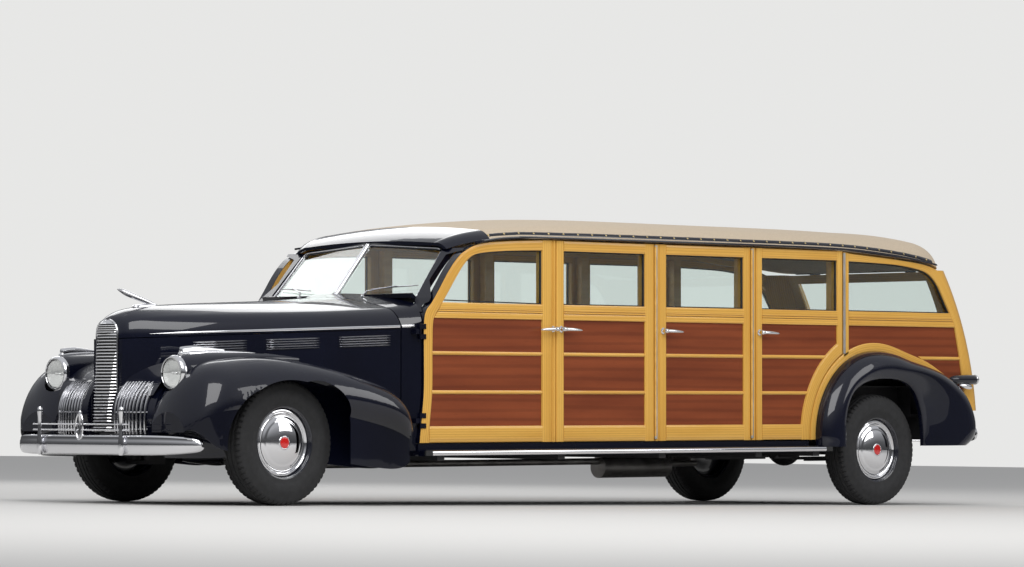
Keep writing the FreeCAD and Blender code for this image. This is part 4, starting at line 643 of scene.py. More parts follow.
def door_wood(index):
    """One door's frame members and panels, on the left side."""
    front, stile_in, rear_in, rear = DOORS[index][1:5]
    wood, panel = lit(10 + index), lit(30 + index)
    last = index == 3
    post_foot = SILL
    if last:
        radius = ARCH_SEAM + HALF_GAP
        top = math.degrees(math.acos((rear - ARCH[0]) / radius))
        low = math.degrees(math.asin((SILL - ARCH[1]) / radius))
        low_out = math.degrees(math.asin((SILL - ARCH[1]) / ARCH_PANEL))
        top_out = math.degrees(math.acos((rear_in - ARCH[0]) / ARCH_PANEL))
        inner = arc_points(ARCH, radius, low, top, 40)
        outer = arc_points(ARCH, ARCH_PANEL, low_out, top_out, 40)
        bar(wood, inner, outer, DOOR_BACK, BODY_FACE)
        post_foot = outer[-1][1]
        bar(
            wood, [(rear, inner[-1][1]), (rear, HEAD)], [(rear_in, post_foot), (rear_in, HEAD)], DOOR_BACK,
            BODY_FACE,
        )
    elif index == 0:
        outer, inner = member_line()
        outer = [(max(x, rear_in), z) for x, z in outer]
        inner = [(max(x, rear_in), z) for x, z in inner]
        bar(wood, outer, inner, DOOR_BACK, BODY_FACE)
        post_bar(wood, rear + BEAD + 0.0015, rear_in, SILL, HEAD, DOOR_BACK, BODY_FACE)
        post_bar(wood, rear, rear + BEAD, SILL, HEAD, DOOR_BACK, BODY_FACE, bulge=0.006, round_edge=0.008)
    else:
        post_bar(wood, rear, rear_in, SILL, HEAD, DOOR_BACK, BODY_FACE)
    if index:
        post_bar(wood, stile_in, front, SILL, HEAD, DOOR_BACK, BODY_FACE)
        level_bar(wood, rear_in, stile_in, GLASS_TOP, HEAD, DOOR_BACK, BODY_FACE)

    def ends(level):
        ahead = stile_in if index else inner_front(level)
        behind = rear_in
        if last and level < post_foot:
            behind = arch_x(ARCH_PANEL, level)
        return behind, ahead

    def across(low, high, face, **options):
        (a, b), (c, d) = ends(low), ends(high)
        bar(wood, [(a, low), (b, low)], [(c, high), (d, high)], DOOR_BACK, face, **options)

    across(SILL, BOTTOM_RAIL_TOP, BODY_FACE)
    for level in RAIL_LEVELS:
        across(level - RAIL_HALF, level + RAIL_HALF, BODY_FACE - 0.006, round_edge=0.009, bulge=0.005)
    low_ends, high_ends = ends(BELT_LOW), ends(BELT_HIGH)
    belt(wood, low_ends[1], high_ends[1], low_ends[0], high_ends[0])
    levels = [BOTTOM_RAIL_TOP] + [
        edge for rail in RAIL_LEVELS for edge in (rail - RAIL_HALF, rail + RAIL_HALF)
    ]
    levels.append(BELT_LOW)
    lap = 0.004
    for low, high in zip(levels[::2], levels[1::2]):
        low, high = low - lap, high + lap
        steps = 10 if last else 1
        heights = [low + (high - low) * step / steps for step in range(steps + 1)]
        outline = [(ends(level)[0] - lap, level) for level in heights]
        outline += [(ends(level)[1] + lap, level) for level in reversed(heights)]
        plate(panel, outline[::-1], DOOR_BACK + 0.010, PANEL_FACE)
    return wood, panel


def handle_metal(index):
    """A lever handle on a round boss."""
    way = DOORS[index][5]
    x = (0.600, 0.533, -0.385, -1.295)[index]
    level = 1.118
    metal = lit(50 + index)
    boss = [
        (-0.004, 0.0), (-0.004, 0.021), (0.002, 0.021), (0.005, 0.017), (0.008, 0.012), (0.026, 0.011),
        (0.030, 0.0),
    ]
    turned(metal, [(BODY_FACE + out, radius) for out, radius in boss], (x, 0, level), (0, 1, 0), 28)
    collar = [(-0.019, 0.0), (-0.019, 0.011), (-0.010, 0.016), (0.010, 0.016), (0.019, 0.012), (0.019, 0.0)]
    turned(metal, collar, (x, BODY_FACE + 0.030, level), (1, 0, 0), 20)
    reach = 0.150
    path, radii = [], []
    for step in range(13):
        share = step / 12
        path.append(
            (x + way * reach * share, BODY_FACE + 0.034 + 0.006 * share, level - 0.006 * share * share)
        )
        radii.append(0.0115 - 0.0065 * share + 0.003 * math.sin(math.pi * share))
    radii[0], radii[-1] = 0.008, 0.002
    tube(metal, path, radii, 14)
    return metal


def make_doors():
    for index, name in enumerate(door[0] for door in DOORS):
        wood, panel = door_wood(index)
        metal = handle_metal(index)
        trim = door_trim(index)
        for side, mirror in SIDES:
            body = f"door_{name}_{side}"
            frame_piece = wood.make(f"{body}_frame", body, "ash_wood", mirror=mirror)
            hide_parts(body)
            panel.make(f"{body}_panels", body, "mahogany", mirror=mirror)
            metal.make(f"{body}_handle", body, "chrome", mirror=mirror)
            trim.make(f"{body}_lining", body, "trim_black", ["trim_black", "tan_leather"], mirror)


def window_loop(index):
    """The window's corners in order, as (x, z)."""
    stile_in, rear_in = DOORS[index][2:4]
    if index:
        return [(rear_in, BELT_HIGH), (rear_in, GLASS_TOP), (stile_in, GLASS_TOP), (stile_in, BELT_HIGH)]
    inner = member_line()[1]
    curve = [spot for spot in inner if spot[1] >= BELT_HIGH and spot[0] >= rear_in]
    return [(rear_in, BELT_HIGH), (rear_in, curve[-1][1])] + curve[::-1]


def seal(shape, loop, y, width=0.007, depth=0.014):
    """A rubber channel round a window, inside its loop."""
    centre = (sum(p[0] for p in loop) / len(loop), sum(p[1] for p in loop) / len(loop))
    rows, spots = [], []
    run = lengths(list(loop) + [loop[0]])
    profile = [(0.0, 0.0), (0.0, depth), (0.5, depth), (1.0, depth * 0.7), (1.0, 0.0)]
    count = len(loop)
    for index in range(count):
        before, here, after = loop[index - 1], loop[index], loop[(index + 1) % count]
        first = Vector((here[0] - before[0], here[1] - before[1])).normalized()
        second = Vector((after[0] - here[0], after[1] - here[1])).normalized()
        normals = [Vector((-v.y, v.x)) for v in (first, second)]
        inward = (normals[0] + normals[1]).normalized()
        if inward.dot(Vector(centre) - Vector(here)) < 0:
            inward = -inward
        reach = width / max(
            0.3, inward.dot(normals[1]) if inward.dot(normals[1]) > 0 else -inward.dot(normals[1]),
        )
        rows.append(
            [
                Vector((here[0] + inward.x * reach * a, y + b, here[1] + inward.y * reach * a))
                for a, b in profile
            ]
        )
        spots.append([(run[index], a) for a, b in profile] + [(run[index], 0)])
    rows.append(list(rows[0]))
    spots.append([(run[-1], b) for a, b in spots[0]])
    shape.grid(rows, spots, closed=True)


def door_trim(index):
    """Window rubbers outside, and the padded board that lines the door's lower half inside."""
    stile_in, rear_in = DOORS[index][2:4]
    shape = lit(70 + index)
    seal(shape, window_loop(index), GLASS_FACE)
    top = BELT_LOW + 0.02
    ahead = stile_in + 0.03 if index else DOOR_FRONT - 0.075
    behind = rear_in - 0.03
    low = SILL + 0.05
    if index == 3:
        radius = ARCH_SEAM + 0.03
        heights = [low + (0.985 - low) * step / 12 for step in range(13)]
        outline = [(ARCH[0] + math.sqrt(radius**2 - (level - ARCH[1]) ** 2), level) for level in heights]
        outline = outline + [(behind, outline[-1][1] + 0.05), (behind, top), (ahead, top), (ahead, low)]
    else:
        outline = [(behind, low), (behind, top), (ahead, top), (ahead, low)]
    plate(shape, outline[::-1], DOOR_BACK - 0.004, DOOR_BACK + 0.006, mark=1)
    return shape


REAR_FACE = ((FRONT_AXLE - 6.033, 1.560), (FRONT_AXLE - 6.215, 1.221), (FRONT_AXLE - 6.372, 0.599))
CORNER = 0.150
LAST_HINGE = FIRST_SEAM - DOOR_PITCH * 3
QUARTER_FRONT, QUARTER_STILE = LAST_HINGE - HALF_GAP, -2.177
PROUD = 0.0006
PILLAR_STRIP = 0.032
GATE_HALF = BODY_FACE - CORNER - 2 * HALF_GAP
GATE_SEAM, GATE_FOOT, GATE_HEAD = 1.226, 0.600, 1.562


def circle_through(first, second, third):
    """Centre and radius of the circle through three (x, z) points."""
    (ax, az), (bx, bz), (cx, cz) = first, second, third
    twice = 2 * (ax * (bz - cz) + bx * (cz - az) + cx * (az - bz))
    a2, b2, c2 = ax * ax + az * az, bx * bx + bz * bz, cx * cx + cz * cz
    x = (a2 * (bz - cz) + b2 * (cz - az) + c2 * (az - bz)) / twice
    z = (a2 * (cx - bx) + b2 * (ax - cx) + c2 * (bx - ax)) / twice
    return x, z, math.hypot(ax - x, az - z)


REAR_X, REAR_Z, REAR_RADIUS = circle_through(*REAR_FACE)


def rear_x(level):
    """Place of the rear face at a height."""
    return REAR_X - math.sqrt(REAR_RADIUS**2 - (level - REAR_Z) ** 2)


BAND = (
    # angle about the arch's centre, inner radius, outer radius
    (-2, 0.574, 0.624), (30, 0.574, 0.624), (60, 0.574, 0.624), (90, 0.575, 0.630), (108, 0.590, 0.640),
    (120, 0.608, 0.660), (130, 0.645, 0.702), (140, 0.717, 0.768), (147, 0.782, 0.820), (154, 0.855, 0.885),
    (159, 0.900, 0.922), (163, 0.935, 0.955),
)
QUARTER_TOP = ((QUARTER_FRONT, 1.666), (-2.740, 1.624), (-2.979, 1.598), (rear_x(1.566) + CORNER, 1.566))
PILLAR_INNER = (
    (-3.098, 1.454), (-3.218, 1.274), (-3.273, 1.175), (-3.312, 1.020), (-3.345, 0.860), (-3.372, 0.700),
    (-3.380, 0.600),
)
WINDOW_TOP = (
    (QUARTER_STILE, 1.608), (-2.400, 1.603), (-2.644, 1.595), (-2.820, 1.578), (-2.954, 1.554),
    (-3.040, 1.510), (-3.098, 1.454),
)


def band_points(count=90):
    line = smooth(BAND, count)
    inner = [arch_spot(radius, angle) for angle, radius, _ in line]
    outer = [arch_spot(radius, angle) for angle, _, radius in line]
    return inner, outer


def pillar_x(level):
    """Place of the rear pillar's inner edge at a height."""
    for (ax, az), (bx, bz) in zip(PILLAR_INNER, PILLAR_INNER[1:]):
        if bz <= level <= az:
            return bx + (ax - bx) * (level - bz) / (az - bz)
    return PILLAR_INNER[-1][0]


def band_top(x):
    """Height of the arch band's upper edge behind the arch's crown."""
    outer = band_points()[1]
    behind = [spot for spot in outer if spot[0] < ARCH[0]]
    return min(behind, key=lambda spot: abs(spot[0] - x))[1]


def corner_pillar(shape):
    """The rear pillar: flat along the side, then turned round the corner to the gates."""
    seed = random.random() * GRAIN_REACH
    rows, spots = [], []
    levels = [
        0.600, 0.700, 0.800, 0.900, 1.000, 1.100, 1.175, 1.222, 1.274, 1.330, 1.390, 1.454, 1.500, 1.566,
    ]
    for level in levels:
        back = rear_x(level)
        middle_x, middle_y = back + CORNER, BODY_FACE - CORNER
        edge = pillar_x(level)
        if level > 1.454:
            edge = -3.098 + (level - 1.454) * 0.9
        side = BODY_FACE + PROUD
        profile = [(edge, BODY_FACE - 0.030), (edge, side - 0.005), (edge - 0.005, side), (middle_x, side)]
        for step in range(1, 13):
            turn = math.radians(90 * step / 12)
            profile.append((middle_x - CORNER * math.sin(turn), middle_y + (CORNER + PROUD) * math.cos(turn)))
        profile += [(back + 0.050, middle_y), (middle_x, BODY_FACE - 0.050)]
        across = lengths(profile + profile[:1])
        rows.append([Vector((x, y, level)) for x, y in profile])
        spots.append([(level + seed, place + seed) for place in across])
    shape.grid(rows, spots, closed=True, caps=True)


def quarter_wood():
    wood, panel = lit(90), lit(91)
    stile_in = QUARTER_STILE
    inner, outer = band_points()
    bar(wood, inner, outer, DOOR_BACK, BODY_FACE, round_edge=0.004)
    foot = arch_spot(0.627, 61.6)[1]
    bar(
        wood, [(stile_in, foot + 0.010), (stile_in, 1.664)],
        [(QUARTER_FRONT, foot - 0.02), (QUARTER_FRONT, 1.668)], DOOR_BACK, BODY_FACE,
    )
    top_line = smooth(QUARTER_TOP, 24)
    under = smooth(WINDOW_TOP, 24)
    bar(wood, under, [(max(x, under[-1][0] - 0.02), z) for x, z in top_line], DOOR_BACK, BODY_FACE - PROUD)
    corner_pillar(wood)
    belt(wood, stile_in, stile_in, pillar_x(BELT_LOW), pillar_x(BELT_HIGH))
    rail_start = next(x / 1000 for x in range(-2700, -3300, -5) if band_top(x / 1000) < 0.950)
    bar(
        wood, [(pillar_x(0.947), 0.947), (rail_start, 0.947)],
        [(pillar_x(0.973), 0.973), (rail_start + 0.040, 0.973)], DOOR_BACK, BODY_FACE - 0.006,
        round_edge=0.009, bulge=0.005,
    )
    count = 28
    rows, spots = [], []
    for step in range(count + 1):
        x = stile_in + 0.003 + (-3.395 - stile_in) * step / count
        low = band_top(x) - 0.012 if x < ARCH[0] else ARCH[1] + math.sqrt(0.620**2 - (x - ARCH[0]) ** 2)
        high = BELT_LOW + 0.006
        levels = (low, (low + high) / 2, high)
        rows.append(
            [Vector((max(x, pillar_x(min(level, 1.45)) - 0.012), PANEL_FACE, level)) for level in levels]
        )
        spots.append([(x, low), (x, (low + high) / 2), (x, high)])
    panel.grid(rows, spots)
    return wood, panel


def quarter_trim():
    """The window's rubber and the dark lining behind the wood."""
    shape = lit(92)
    loop = [(QUARTER_STILE, BELT_HIGH)] + smooth(WINDOW_TOP, 24) + [(-3.218, BELT_HIGH)]
    seal(shape, loop, GLASS_FACE)
    rows, spots = [], []
    for step in range(25):
        x = -2.130 - 1.260 * step / 24
        low = 0.870 if x > -3.0 else 0.60
        rows.append([Vector((x, DOOR_BACK - 0.003, low)), Vector((x, DOOR_BACK - 0.003, BELT_HIGH))])
        spots.append([(x, low), (x, BELT_HIGH)])
    shape.grid(rows, spots, mark=1)
    return shape


def strip_hinge(shape, seam, low, high):
    """A bright strip hinge: a leaf on the pillar and knuckles on the hinge's axis."""
    post_bar(
        shape, seam - 0.021, seam - 0.002, low, high, BODY_FACE - 0.001, BODY_FACE + 0.0035, round_edge=0.001,
    )
    count = int((high - low) / 0.030)
    pitch = (high - low) / count
    for step in range(count):
        base = low + pitch * step
        profile = [
            (0.0008, 0.0), (0.0008, 0.0062), (0.0018, 0.0069), (pitch - 0.0018, 0.0069),
            (pitch - 0.0008, 0.0062), (pitch - 0.0008, 0.0),
        ]
        turned(shape, profile, (seam, BODY_FACE + 0.006, base), (0, 0, 1), 10)


def make_pillars():
    """The fixed strips of wood between the doors, and the strip hinges."""
    wood, metal = lit(95), lit(96)
    for count in (1, 2):
        seam = FIRST_SEAM - DOOR_PITCH * count
        post_bar(
            wood, seam - HALF_GAP - PILLAR_STRIP - 0.0004, seam - HALF_GAP + 0.0004, SILL, HEAD, 0.760,
            BODY_FACE + 0.0005, round_edge=0.003,
        )
        strip_hinge(metal, seam, SILL + 0.012, HEAD - 0.006)
    strip_hinge(metal, LAST_HINGE, 0.985, HEAD - 0.012)
    for side, mirror in SIDES:
        wood.make(f"pillar_strips_{side}", "root", "ash_wood", mirror=mirror)
        metal.make(f"strip_hinges_{side}", "root", "chrome", ["hinge_steel"], mirror)


def make_quarters():
    wood, panel = quarter_wood()
    trim = quarter_trim()
    for side, mirror in SIDES:
        frame_piece = wood.make(f"quarter_frame_{side}", "root", "ash_wood", mirror=mirror)
        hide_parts("quarter_panels")
        panel.make(f"quarter_boards_{side}", "root", "mahogany", mirror=mirror)
        trim.make(f"quarter_lining_{side}", "root", "trim_black", ["trim_black", "chassis_black"], mirror)


def gate_bar(shape, y0, y1, z0, z1, depth=0.050, proud=0.0, upright=False):
    """A member of a gate, on the rear face. Its grain runs across the car, or up where upright."""
    seed = random.random() * GRAIN_REACH
    r = 0.005
    rows, spots = [], []
    if upright:
        steps = 14
        for step in range(steps + 1):
            z = z0 + (z1 - z0) * step / steps
            face = rear_x(z) - proud
            profile = [
                (face + depth, y0), (face + r, y0), (face, y0 + r), (face, y1 - r), (face + r, y1),
                (face + depth, y1),
            ]
            across = lengths(profile + profile[:1])
            rows.append([Vector((x, y, z)) for x, y in profile])
            spots.append([(z + seed, place + seed) for place in across])
    else:
        for y in (y0, y1):
            profile = [(rear_x(z0) + depth, z0), (rear_x(z0) - proud + r, z0)]
            profile += [(rear_x(z) - proud, z) for z in (z0 + r, (z0 + z1) / 2, z1 - r)]
            profile += [(rear_x(z1) - proud + r, z1), (rear_x(z1) + depth, z1)]
            across = lengths(profile + profile[:1])
            rows.append([Vector((x, y, z)) for x, z in profile])
            spots.append([(y + seed, place + seed) for place in across])
    shape.grid(rows, spots, closed=True, caps=True)


def gate_panel(shape, y0, y1, z0, z1, sunk=0.012):
    rows, spots = [], []
    for step in range(9):
        z = z0 + (z1 - z0) * step / 8
        rows.append([Vector((rear_x(z) + sunk, y0, z)), Vector((rear_x(z) + sunk, y1, z))])
        spots.append([(y0 + 3, z), (y1 + 3, z)])
    shape.grid(rows, spots)


def make_gates():
    """A tailgate of ash members with sunk boards, and a liftgate round its window."""
    edge = GATE_HALF
    wood, panel, inside = lit(100), lit(101), lit(102)
    top = GATE_SEAM - HALF_GAP
    for y0, y1 in ((-edge, -edge + 0.080), (-0.045, 0.045), (edge - 0.080, edge)):
        gate_bar(wood, y0, y1, GATE_FOOT, top, upright=True)
    spans = ((-edge + 0.080, -0.045), (0.045, edge - 0.080))
    for y0, y1 in spans:
        for z0, z1 in ((GATE_FOOT, 0.690), (0.862, 0.890), (top - 0.090, top)):
            gate_bar(wood, y0, y1, z0, z1, proud=0.0 if z1 - z0 > 0.05 else -0.005)
        gate_panel(panel, y0 - 0.004, y1 + 0.004, 0.685, top - 0.085)
        gate_panel(inside, y0 - 0.004, y1 + 0.004, 0.685, top - 0.085, sunk=0.046)
    piece = wood.make("tailgate_frame", "tailgate", "ash_wood")
    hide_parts("tailgate")
    panel.make("tailgate_boards", "tailgate", "mahogany")
    inside.make("tailgate_lining", "tailgate", "ash_wood")
    lift = lit(103)
    low = GATE_SEAM + HALF_GAP
    sill, head = low + 0.052, GATE_HEAD - 0.058
    glass_edge = edge - 0.075
    for y0, y1 in ((-edge, -glass_edge), (glass_edge, edge)):
        gate_bar(lift, y0, y1, low, GATE_HEAD, upright=True)
    gate_bar(lift, -glass_edge, glass_edge, low, sill)
    gate_bar(lift, -glass_edge, glass_edge, head, GATE_HEAD)
    piece = lift.make("liftgate_frame", "liftgate", "ash_wood")
    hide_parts("liftgate")
    metal = lit(104)
    boss = [(0.010, 0.0), (0.010, 0.020), (-0.004, 0.020), (-0.012, 0.012), (-0.030, 0.010), (-0.034, 0.0)]
    turned(metal, boss, (rear_x(1.185), 0, 1.185), (1, 0, 0), 24)
    tube(
        metal,
        [
            (rear_x(1.185) - 0.030, -0.055, 1.185), (rear_x(1.185) - 0.034, 0, 1.187),
            (rear_x(1.185) - 0.030, 0.055, 1.185),
        ],
        [0.005, 0.009, 0.005], 12,
    )
    metal.make("tailgate_handle", "tailgate", "chrome")


# The front end.

GRILLE_BACK = FRONT_AXLE + 0.705
NOSE = 3.720
LAMP = (FRONT_AXLE + 0.640, 0.558, 0.830)
BUMPER_LEVEL = 0.406
SURFACES = {}


def surface_tree(name):
    """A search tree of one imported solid's faces, in the level body frame."""
    if name not in SURFACES:
        obj = frame["nodes"][name]
        level = RAKE.inverted() @ obj.matrix_world
        points = [level @ vertex.co for vertex in obj.data.vertices]
        faces = [tuple(polygon.vertices) for polygon in obj.data.polygons]
        SURFACES[name] = BVHTree.FromPolygons(points, faces)
    return SURFACES[name]


def drop_on(names, start, way, reach=1.5):
    """The nearest place on the named solids along a ray, with its outward normal."""
    best = None
    for name in names:
        place, normal, _, distance = surface_tree(name).ray_cast(
            Vector(start), Vector(way).normalized(), reach,
        )
        if place is not None and (best is None or distance < best[2]):
            best = (place, normal, distance)
    place, normal, _ = best
    return place, (-normal if normal.dot(Vector(way)) > 0 else normal)


def block(shape, x0, x1, y0, y1, z0, z1, edge=0.002):
    """A box with its long edges eased."""
    ring = [
        (y0 + edge, z0), (y1 - edge, z0), (y1, z0 + edge), (y1, z1 - edge), (y1 - edge, z1), (y0 + edge, z1),
        (y0, z1 - edge), (y0, z0 + edge),
    ]
    run = lengths(ring + ring[:1])
    rows = [[Vector((x, y, z)) for y, z in ring] for x in (x0, x1)]
    shape.grid(rows, [[(x, place) for place in run] for x in (x0, x1)], closed=True, caps=True)


def band(shape, path, width, height, outs, steps=6, taper=None, sink=0.003):
    """A domed moulding laid along a path, away from the surface that it lies on."""
    path = [Vector(p) for p in path]
    run = lengths([tuple(p) for p in path])
    rows, spots = [], []
    for index, place in enumerate(path):
        ahead = (path[min(index + 1, len(path) - 1)] - path[max(index - 1, 0)]).normalized()
        away = Vector(outs[index] if isinstance(outs, list) else outs)
        away = (away - ahead * away.dot(ahead)).normalized()
        side = ahead.cross(away)
        share = taper[index] if taper else 1.0
        half = width * share / 2
        row = []
        for step in range(steps + 1):
            turn = math.pi * step / steps
            row.append(
                place + side * half * math.cos(turn) + away * height * min(1.0, share * 1.4) * math.sin(turn)
            )
        row += [row[-1] - away * sink, row[0] - away * sink]
        rows.append(row)
        spots.append([(run[index], 0.01 * step) for step in range(len(row) + 1)])
    shape.grid(rows, spots, closed=True, caps=True)


def both_sides(shape, name, body, slot, finishes=None, **options):
    for side, mirror in SIDES:
        shape.make(f"{name}_{side}", body, slot, finishes, mirror, **options)


def belt_line(x):
    """Height of the seam between the hood and the sides under it."""
    return 1.123 - 0.070 * (x - FRONT_AXLE + 0.955) / 1.660


LOUVRES = ((0.335, 0.022), (-0.095, -0.426), (-0.551, -0.887))


def strip_level(x):
    """Height of the bright belt moulding: over the seam in front, on it at the cowl."""
    return belt_line(x) - 0.0015 + 0.0075 * (x - FRONT_AXLE + 0.960) / 1.530


def side_mouldings():
    strip, cowl_strip, louvres = Shape(), Shape(), Shape()
    xs = [FRONT_AXLE + 0.571 - (0.571 + 0.951) * step / 60 for step in range(61)]
    hits = [drop_on(["hood"], (x, 1.3, strip_level(x)), (0, -1, 0)) for x in xs]
    taper = [min(1.0, 0.12 + step / 7) for step in range(61)]
    band(strip, [p for p, n in hits], 0.017, 0.006, [tuple(n) for p, n in hits], taper=taper)
    xs = [FRONT_AXLE - 0.966 - 0.066 * step / 6 for step in range(7)]
    hits = [drop_on(["cowl"], (x, 1.3, strip_level(x)), (0, -1, 0)) for x in xs]
    band(cowl_strip, [p for p, n in hits], 0.017, 0.006, [tuple(n) for p, n in hits])
    for ahead, behind in LOUVRES:
        for count in range(5):
            drop = 0.0145 * count
            xs = [FRONT_AXLE + ahead + (behind - ahead) * step / 12 for step in range(13)]
            path = [(x, nose_side(x), 1.029 - 0.041 * (x - FRONT_AXLE) - drop) for x in xs]
            ends = [0.4] + [1.0] * 11 + [0.4]
            band(louvres, path, 0.0085, 0.007, (0.33, 0.94, 0), steps=5, taper=ends)
    both_sides(strip, "hood_moulding", "hood", "chrome")
    both_sides(cowl_strip, "cowl_moulding", "root", "chrome")
    both_sides(louvres, "side_louvres", "root", "chrome")


def grille_bow(level):
    """Half the grille's width and how far it bows forward, at a height."""
    if level <= 1.062:
        share = (level - 0.482) / 0.580
        return 0.098, 0.062 + 0.026 * math.sin(math.pi * (0.35 + 0.65 * share)) - 0.034 * share
    knots = (
        (1.062, 0.098, 0.050), (1.090, 0.094, 0.044), (1.110, 0.087, 0.036), (1.130, 0.068, 0.025),
        (1.142, 0.046, 0.016), (1.150, 0.018, 0.006),
    )
    for low, high in zip(knots, knots[1:]):
        if level <= high[0]:
            share = (level - low[0]) / (high[0] - low[0])
            return low[1] + (high[1] - low[1]) * share, low[2] + (high[2] - low[2]) * share
    return knots[-1][1:]


def grille_path(level, inset=0.0, count=18):
    half, reach = grille_bow(level)
    half -= inset
    path = []
    for step in range(count + 1):
        side = -1 + 2 * step / count
        path.append((GRILLE_BACK + 0.004 + (reach - inset) * (1 - side * side) ** 0.8, half * side, level))
    return path


def make_grille():
    bars, dark = Shape(), Shape()
    count = 30
    for step in range(count):
        level = 0.488 + 0.0192 * step
        tube(bars, grille_path(level), 0.0046, 8)
    for step in range(5):
        tube(bars, grille_path(1.076 + 0.0125 * step), 0.0038, 8)
    tube(bars, grille_path(1.062), 0.0065, 10)
    dome = [1.128, 1.134, 1.140, 1.145, 1.149]
    rows = [[Vector(p) for p in grille_path(level)] for level in dome]
    shape_spots = [[(index, 0.01 * step) for step in range(19)] for index in range(len(dome))]
    bars.grid(rows, shape_spots)
    for side in (-1, 1):
        edge = []
        for step in range(40):
            level = 0.478 + (1.149 - 0.478) * step / 39
            half = grille_bow(level)[0]
            edge.append((GRILLE_BACK + 0.006, side * half, level))
        tube(bars, edge, 0.0072, 10)
    levels = [0.478 + (1.146 - 0.478) * step / 60 for step in range(61)]
    rows = [[Vector(p) for p in grille_path(level, 0.007)] for level in levels]
    dark.grid(rows, [[(index, 0.01 * step) for step in range(19)] for index in range(61)])
    block(dark, GRILLE_BACK, GRILLE_BACK + 0.010, -0.088, 0.088, 0.476, 1.10)
    piece = bars.make("grille_bars", "root", "chrome")
    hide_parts("grille")
    dark.make("grille_back", "root", "trim_black")


def side_grille_reach(y):
    return 0.772 - 0.050 * max(0.0, (y - 0.300) / 0.155) ** 1.6


def make_side_grilles():
    bars = Shape()
    for count in range(10):
        y = 0.168 + 0.027 * count
        reach = FRONT_AXLE + side_grille_reach(y)
        knots = [
            (reach + 0.006, y, 0.470), (reach + 0.008, y, 0.560), (reach + 0.001, y, 0.640),
            (reach - 0.026, y, 0.710), (reach - 0.080, y, 0.768), (reach - 0.092, y, 0.772),
        ]
        path = smooth(knots, 26)
        outs = []
        for index in range(len(path)):
            a, b = Vector(path[max(index - 1, 0)]), Vector(path[min(index + 1, 26)])
            along = (b - a).normalized()
            outs.append((along.z, 0, -along.x))
        ends = [0.5] + [1.0] * 22 + [0.85, 0.65, 0.4, 0.15]
        band(bars, path, 0.0095, 0.009, outs, taper=ends, sink=0.006)
    for level in (0.500, 0.600):
        path = [
            (FRONT_AXLE + side_grille_reach(0.160 + 0.012 * step) + 0.002, 0.160 + 0.012 * step, level)
            for step in range(23)
        ]
        tube(bars, path, 0.004, 8)
    piece = bars.make("side_grille_left", "root", "chrome")
    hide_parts("side_grilles")
    bars.make("side_grille_right", "root", "chrome", mirror=True)


def bumper_blade(shape, tip, level, way):
    """A bumper's blade with a rolled upper edge and tapered ends; way is 1 at the front."""
    knots = [
        (0.0, 0.010, 1.0), (0.300, 0.026, 1.0), (0.533, 0.064, 1.0), (0.700, 0.122, 0.93),
        (0.800, 0.184, 0.78), (0.835, 0.210, 0.66), (0.852, 0.226, 0.48), (0.860, 0.236, 0.22),
    ]
    line = smooth(knots, 48)
    line = [(-y, back, share) for y, back, share in reversed(line[1:])] + line
    half = 0.059
    rows, spots = [], []
    for y, back, share in line:
        x = tip - way * back
        high = half * share
        section = [
            (-0.030, -1.0), (-0.018, -0.98), (-0.008, -0.85), (-0.002, -0.45), (0.0, 0.0), (-0.002, 0.45),
            (-0.007, 0.72), (-0.006, 0.80), (-0.008, 0.90), ( -0.014, 0.985, ), (-0.022, 1.0), (-0.034, 0.93),
            (-0.036, 0.80), (-0.012, 0.50), (-0.008, 0.0), (-0.012, -0.6), (-0.022, -0.9),
        ]
        rows.append([Vector((x + way * out, y, level + high * up)) for out, up in section])
        spots.append([(y, 0.01 * step) for step in range(len(section) + 1)])
    shape.grid(rows, spots, closed=True, caps=True)


def make_front_bumper():
    metal, brackets = Shape(), Shape()
    bumper_blade(metal, NOSE, BUMPER_LEVEL, 1)
    profile = [
        (-0.062, 0.0), (-0.060, 0.012), (-0.050, 0.017), (-0.020, 0.019), (0.030, 0.018), (0.075, 0.014),
        (0.120, 0.0125), (0.165, 0.0135), (0.190, 0.0165), (0.205, 0.0175), (0.216, 0.0155), (0.224, 0.010),
        (0.227, 0.0),
    ]
    for side in (-1, 1):
        turned(metal, profile, (NOSE - 0.024, side * 0.390, BUMPER_LEVEL), (0, 0, 1), 24)
        block(
            brackets, FRONT_AXLE + 0.736, NOSE - 0.060, side * 0.3675 - 0.016, side * 0.3675 + 0.016,
            BUMPER_LEVEL - 0.016, BUMPER_LEVEL + 0.026,
        )
    for level in (0.494, 0.528):
        tube(
            metal, [(NOSE - 0.030, -0.465, level), (NOSE - 0.026, 0.0, level), (NOSE - 0.030, 0.465, level)],
            [0.004, 0.005, 0.004], 12,
        )
    ring = []
    for step in range(37):
        turn = 2 * math.pi * step / 36
        ring.append((NOSE - 0.018, 0.034 * math.sin(turn), 0.514 + 0.076 * math.cos(turn)))
    tube(metal, ring, 0.0065, 10)
    spine = [
        (-0.092, 0.0), (-0.090, 0.010), (-0.020, 0.011), (0.030, 0.008), (0.060, 0.010), (0.082, 0.013),
        (0.092, 0.009), (0.096, 0.0),
    ]
    turned(metal, spine, (NOSE - 0.024, 0, 0.514), (0, 0, 1), 18)
    piece = metal.make("front_bumper_blade", "root", "chrome")
    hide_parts("front_bumper")
    brackets.make("front_bumper_brackets", "root", "chassis_black")


